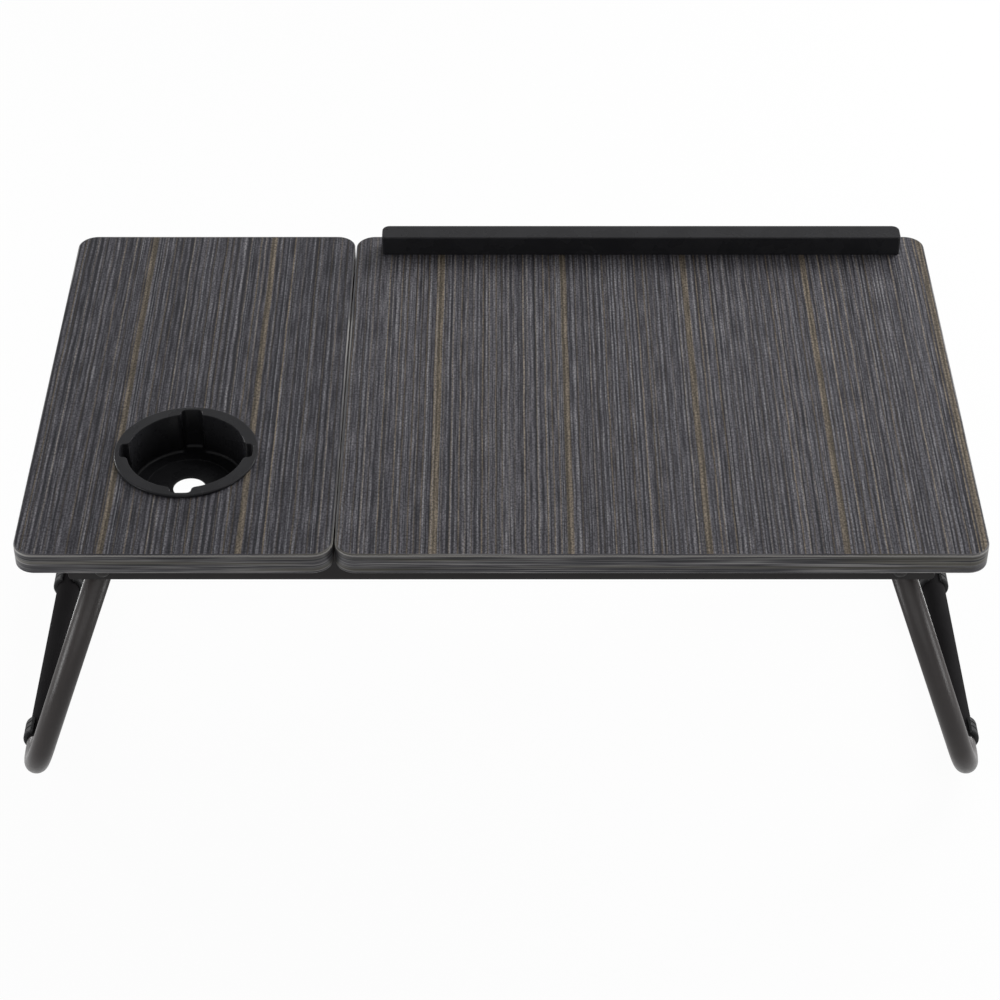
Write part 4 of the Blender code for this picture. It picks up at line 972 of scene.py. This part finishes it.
def make_washer(name, finish):
    low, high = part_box(name)
    x, _, z = middle_of(name)
    inner = LEG_RIVET_RADIUS + GAP
    eased = WASHER_RADIUS - WASHER_EASE
    width = high.y - low.y
    profile = [(inner, 0), (eased, 0), (WASHER_RADIUS, WASHER_EASE),
               (WASHER_RADIUS, width - WASHER_EASE), (eased, width), (inner, width)]
    fitted(name, turned(profile, (x, low.y, z), "Y", 32), (finish,))


# Hinges and tilt support

def leaf_outline(reach):
    """A hinge leaf's section: a flat plate, and its end curled round the pin."""
    inner = LEAF_THICKNESS - KNUCKLE_RADIUS
    end = math.acos(-inner / KNUCKLE_RADIUS) - math.pi
    curl = arc((0, 0), KNUCKLE_RADIUS, math.pi, end, 22)
    return [(-KNUCKLE_RADIUS, -reach), *curl, (inner, -reach)]


def make_hinge(side_name, finish):
    pin_name = f"{side_name}_hinge_pin"
    low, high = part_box(pin_name)
    _, hinge_y, hinge_z = middle_of(pin_name)
    left, right = (corner.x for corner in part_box(f"{side_name}_hinge_rail_leaf"))
    middle = (left + right) / 2
    clear = KNUCKLE_RADIUS + GAP
    upright = [(hinge_y + u, hinge_z + v) for u, v in leaf_outline(LEAF_DROP)]
    level = [(hinge_y - v, hinge_z - u) for u, v in leaf_outline(LEAF_REACH)]
    fixed, moving = prism(upright, "X", left, right), prism(level, "X", left, right)
    soften(fixed, LEAF_ARRIS, 1)
    soften(moving, LEAF_ARRIS, 1)
    half = LEAF_MIDDLE / 2
    slot = block((middle - half - GAP, hinge_y - clear - GAP, hinge_z - clear),
                 (middle + half + GAP, hinge_y + clear, hinge_z + clear))
    fixed = combined(fixed, slot, "DIFFERENCE")
    ends = gathered([
        block((a, hinge_y - clear, hinge_z - clear), (b, hinge_y + clear, hinge_z + clear + GAP))
        for a, b in ((left - GAP, middle - half), (middle + half, right + GAP))
    ])
    moving = combined(moving, ends, "DIFFERENCE")
    for leaf_name, leaf in (("rail", fixed), ("panel", moving)):
        bore = drilled([(left, hinge_y, hinge_z)], "X", HINGE_PIN_RADIUS + GAP / 2, *HINGE_BORE)
        leaf = combined(leaf, bore, "DIFFERENCE")
        fitted(f"{side_name}_hinge_{leaf_name}_leaf", leaf, (finish,), 30)
    head = (high.z - low.z) / 2
    shank = high.x - low.x - head
    pin = dome(head, -head, head) + [(HINGE_PIN_RADIUS, head)]
    pin += [(HINGE_PIN_RADIUS, shank)] + dome(head, head, shank)[::-1]
    fitted(pin_name, turned(pin, (low.x, hinge_y, hinge_z), "X"), (finish,))


def make_saddle(name, finish):
    """A pressed strap over the wire, with a screwed ear each side."""
    low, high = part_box(name)
    middle_y = middle_of(name)[1]
    inner = WIRE_RADIUS + GAP
    outer = inner + SADDLE_THICKNESS
    axis_z = high.z - WIRE_RADIUS
    under = WIRE_RADIUS - SADDLE_THICKNESS
    end = outer + SADDLE_EAR
    outline = [(-end, under), (-end, WIRE_RADIUS), (-inner, WIRE_RADIUS)]
    outline += arc((0, 0), inner, math.pi, math.tau, 14)
    outline += [(inner, WIRE_RADIUS), (end, WIRE_RADIUS), (end, under), (outer, under)]
    outline += arc((0, 0), outer, 0, -math.pi, 14)
    outline.append((-outer, under))
    bm = prism([(middle_y + y, axis_z + z) for y, z in outline], "X", low.x, high.x)
    corners = [edge for y in (low.y, high.y) for edge in edges_at(bm, 1, y) if run(edge, 2) > WELD]
    round_off(bm, corners, SADDLE_CORNER, 5)
    soften(bm, SADDLE_ARRIS, 1)
    fitted(name, bm, (finish,), 30)


def make_bail(finish):
    low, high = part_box("support_bail")
    z = middle_of("support_bail")[2]
    left, right = low.x + WIRE_RADIUS, high.x - WIRE_RADIUS
    tip, heel = low.y + WIRE_RADIUS, high.y - WIRE_RADIUS
    corners = [(left + WIRE_STUB, heel, z), (left, heel, z), (left, tip, z),
               (right, tip, z), (right, heel, z), (right - WIRE_STUB, heel, z)]
    bm = bent_bar(corners, WIRE_BEND, WIRE_RADIUS, 24, 12)
    bmesh.ops.holes_fill(bm, edges=[edge for edge in bm.edges if edge.is_boundary])
    bmesh.ops.recalc_face_normals(bm, faces=bm.faces)
    fitted("support_bail", bm, (finish,), 60)


# Fasteners

def nodes_named(start):
    return sorted(name for name in frame["nodes"] if name.startswith(start) and name[-1].isdigit())


def make_screws(start, finish):
    """Pan heads with a cross recess, under the face they bear on; the shanks rise into it."""
    for name in nodes_named(start):
        low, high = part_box(name)
        x, y, _ = middle_of(name)
        radius = (high.x - low.x) / 2
        length = high.z - low.z
        profile = dome(radius, -SCREW_HEAD, SCREW_HEAD, 6)
        profile += [(SCREW_RADIUS, SCREW_HEAD), (SCREW_RADIUS, length - SCREW_RADIUS), (0, length)]
        bm = turned(profile, (x, y, low.z), "Z")
        for size in ((RECESS_LENGTH, RECESS_WIDTH), (RECESS_WIDTH, RECESS_LENGTH)):
            arm = block((x - size[0] / 2, y - size[1] / 2, low.z - RECESS_MOUTH),
                        (x + size[0] / 2, y + size[1] / 2, low.z + RECESS_DEPTH))
            bm = combined(bm, arm, "DIFFERENCE")
        fitted(name, bm, (finish,), 30)


def make_hinge_rivets(finish):
    for name in nodes_named("hinge_rail_rivet"):
        low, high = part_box(name)
        radius = (high.x - low.x) / 2
        length = high.y - low.y
        profile = dome(radius, -RIVET_HEAD, RIVET_HEAD)
        profile += [(SCREW_RADIUS, RIVET_HEAD), (SCREW_RADIUS, length - RIVET_HEAD)]
        profile += dome(radius, RIVET_HEAD, length - RIVET_HEAD)[::-1]
        x, _, z = middle_of(name)
        fitted(name, turned(profile, (x, low.y, z), "Y"), (finish,))


def make_member_rivets(finish):
    """Flush heads in the rail's flange, and round tails under the cross member."""
    for name in nodes_named("cross_member_rivet"):
        low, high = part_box(name)
        radius = (high.x - low.x) / 2
        length = high.z - low.z
        profile = dome(MEMBER_TAIL_RADIUS, -RIVET_HEAD, RIVET_HEAD) + [(SCREW_RADIUS, RIVET_HEAD)]
        profile += [(SCREW_RADIUS, length - radius + SCREW_RADIUS), (radius, length), (0, length)]
        x, y, _ = middle_of(name)
        fitted(name, turned(profile, (x, y, low.z), "Z"), (finish,))


# Stage

def make_floor():
    bm = bmesh.new()
    bmesh.ops.create_grid(bm, x_segments=1, y_segments=1, size=FLOOR_HALF)
    bmesh.ops.translate(bm, vec=(0, 0, -FLOOR_DROP), verts=bm.verts)
    mesh = bpy.data.meshes.new("floor")
    bm.to_mesh(mesh)
    bm.free()
    floor = bpy.data.objects.new("floor", mesh)
    bpy.context.scene.collection.objects.link(floor)
    finish = bpy.data.materials.new("white_floor")
    finish.use_nodes = True
    tree = finish.node_tree
    tree.nodes.remove(tree.nodes["Principled BSDF"])
    matt = add(tree, "BsdfDiffuse", {"Color": (0.58, 0.58, 0.58, 1.0)})
    white = add(tree, "Emission", {"Color": (1.0, 1.0, 1.0, 1.0), "Strength": 1.0})
    share = calc(tree, "MULTIPLY", seen_ray(tree), FLOOR_WHITE)
    mixed = add(tree, "MixShader", {0: share, 1: matt.outputs[0], 2: white.outputs[0]})
    tree.links.new(mixed.outputs[0], tree.nodes["Material Output"].inputs["Surface"])
    mesh.materials.append(finish)


def seen_ray(tree):
    """1 for a ray from the camera, or one that a glossy or clear surface sends on."""
    path = add(tree, "LightPath").outputs
    sent = calc(tree, "MAXIMUM", path["Is Camera Ray"], path["Is Glossy Ray"])
    return calc(tree, "MAXIMUM", sent, path["Is Transmission Ray"])


def make_world():
    world = bpy.data.worlds.new("studio")
    bpy.context.scene.world = world
    world.use_nodes = True
    tree = world.node_tree
    sky = tree.nodes["Background"]
    sky.inputs["Color"].default_value = (1.0, 1.0, 1.0, 1.0)
    way = add(tree, "TexCoord").outputs["Generated"]
    facing = add(tree, "VectorMath", {0: way, 1: WINDOW_SIDE}, operation="DOT_PRODUCT")
    glow = calc(tree, "POWER", calc(tree, "MAXIMUM", facing.outputs["Value"], 0.0), 4.0)
    lit = calc(tree, "MULTIPLY_ADD", glow, WINDOW_LIGHT, ROOM_LIGHT)
    strength = add(tree, "Mix", {0: seen_ray(tree), 2: lit, 3: 1.0}).outputs[0]
    tree.links.new(strength, sky.inputs["Strength"])


def make_softbox(name, place, aim, size, power, glare=True):
    """A rectangle of light; one without glare isn't mirrored in glossy finishes."""
    lamp = bpy.data.lights.new(name, "AREA")
    lamp.shape = "RECTANGLE"
    lamp.size, lamp.size_y = size
    lamp.energy = power
    holder = bpy.data.objects.new(name, lamp)
    holder.location = place
    holder.visible_glossy = glare
    holder.rotation_euler = (Vector(aim) - Vector(place)).to_track_quat("-Z", "Y").to_euler()
    bpy.context.scene.collection.objects.link(holder)


def make_camera():
    lens = bpy.data.cameras.new("camera")
    lens.lens = CAMERA_LENS
    camera = bpy.data.objects.new("camera", lens)
    camera.location = CAMERA_PLACE
    camera.rotation_euler = (math.pi / 2 - CAMERA_PITCH, 0, 0)
    bpy.context.scene.collection.objects.link(camera)
    bpy.context.scene.camera = camera


def make_finishes():
    return {
        "side_laminate": laminate("side_laminate", SIDE_BROWN_X, SIDE_GRAIN_PITCH, 0.325),
        "main_laminate": laminate("main_laminate", MAIN_BROWN_X, MAIN_GRAIN_PITCH, 0.455),
        "band": edge_banding(),
        "core": fibreboard(),
        "back": backing(),
        "plastic": moulded("black_plastic", (0.0125, 0.0125, 0.0140), (0.0180, 0.0180, 0.0198),
                           0.09, 0.27),
        "rubber": moulded("black_rubber", (0.006, 0.006, 0.0065), (0.012, 0.012, 0.0125),
                          0.22, 0.62, 1100, 0.00008),
        "frame": powder_coat("frame_coat", (0.0095, 0.0085, 0.0087), (0.0140, 0.0124, 0.0128),
                             0.18, 0.42),
        "leg": powder_coat("leg_coat", (0.0225, 0.0190, 0.0185), (0.0305, 0.0258, 0.0252),
                           0.27, 0.32),
        # The ground bar: the leg paint darkened, as painted shade
        "bar": powder_coat("ground_bar_painted_shade", (0.008, 0.0075, 0.008), (0.011, 0.0105, 0.011),
                           0.02, 0.80),
        "zinc": zinc_plate(),
    }


def build():
    finishes = make_finishes()
    make_tabletop(finishes)
    make_cup_holder(finishes["plastic"])
    make_ledge(finishes["plastic"])
    make_rail("front_rail", -1, finishes["frame"])
    make_rail("back_rail", 1, finishes["frame"])
    for side_name, side in (("left", -1), ("right", 1)):
        make_cross_member(f"{side_name}_cross_member", finishes["frame"])
        make_rack(f"{side_name}_rack", finishes["plastic"])
        make_leg(side_name, side, finishes["leg"], finishes["bar"])
        make_hinge(side_name, finishes["zinc"])
        make_saddle(f"{side_name}_bail_saddle", finishes["zinc"])
        for end_name, end in (("front", -1), ("back", 1)):
            corner = f"{end_name}_{side_name}"
            make_foot_pad(f"{corner}_foot_pad", finishes["rubber"])
            make_leg_rivet(f"{corner}_leg_rivet", end, finishes["frame"])
            make_washer(f"{corner}_leg_washer", finishes["plastic"])
    make_bail(finishes["zinc"])
    for start in ("side_panel_screw", "ledge_screw", "hinge_panel_screw", "saddle_screw"):
        make_screws(start, finishes["zinc"])
    make_hinge_rivets(finishes["zinc"])
    make_member_rivets(finishes["zinc"])
    make_floor()
    make_world()
    make_softbox("window", (1.50, 1.35, 1.05), (0.0, 0.0, 0.25), (1.2, 0.9), 45.0, glare=False)
    make_softbox("above", (0.30, 0.45, 1.45), (0.0, 0.0, 0.25), (0.8, 0.6), 3.6)
    make_softbox("front_fill", (0.0, -1.45, 0.66), (0.0, -0.1, 0.15), (1.2, 0.8), 3.0)
    make_softbox("left_fill", (-1.30, -0.50, 0.42), (-0.28, -0.12, 0.15), (0.4, 0.8), 8.5)
    make_softbox("right_fill", (1.30, -0.50, 0.42), (0.28, -0.12, 0.15), (0.4, 0.8), 6.5)
    make_softbox("left_rim", (-1.30, 0.75, 0.45), (-0.30, -0.12, 0.12), (0.3, 0.6), 10.0)
    make_softbox("right_rim", (1.30, 0.75, 0.45), (0.30, -0.12, 0.12), (0.3, 0.6), 8.0)
    make_camera()
    bpy.context.scene.view_settings.view_transform = "Standard"


build()
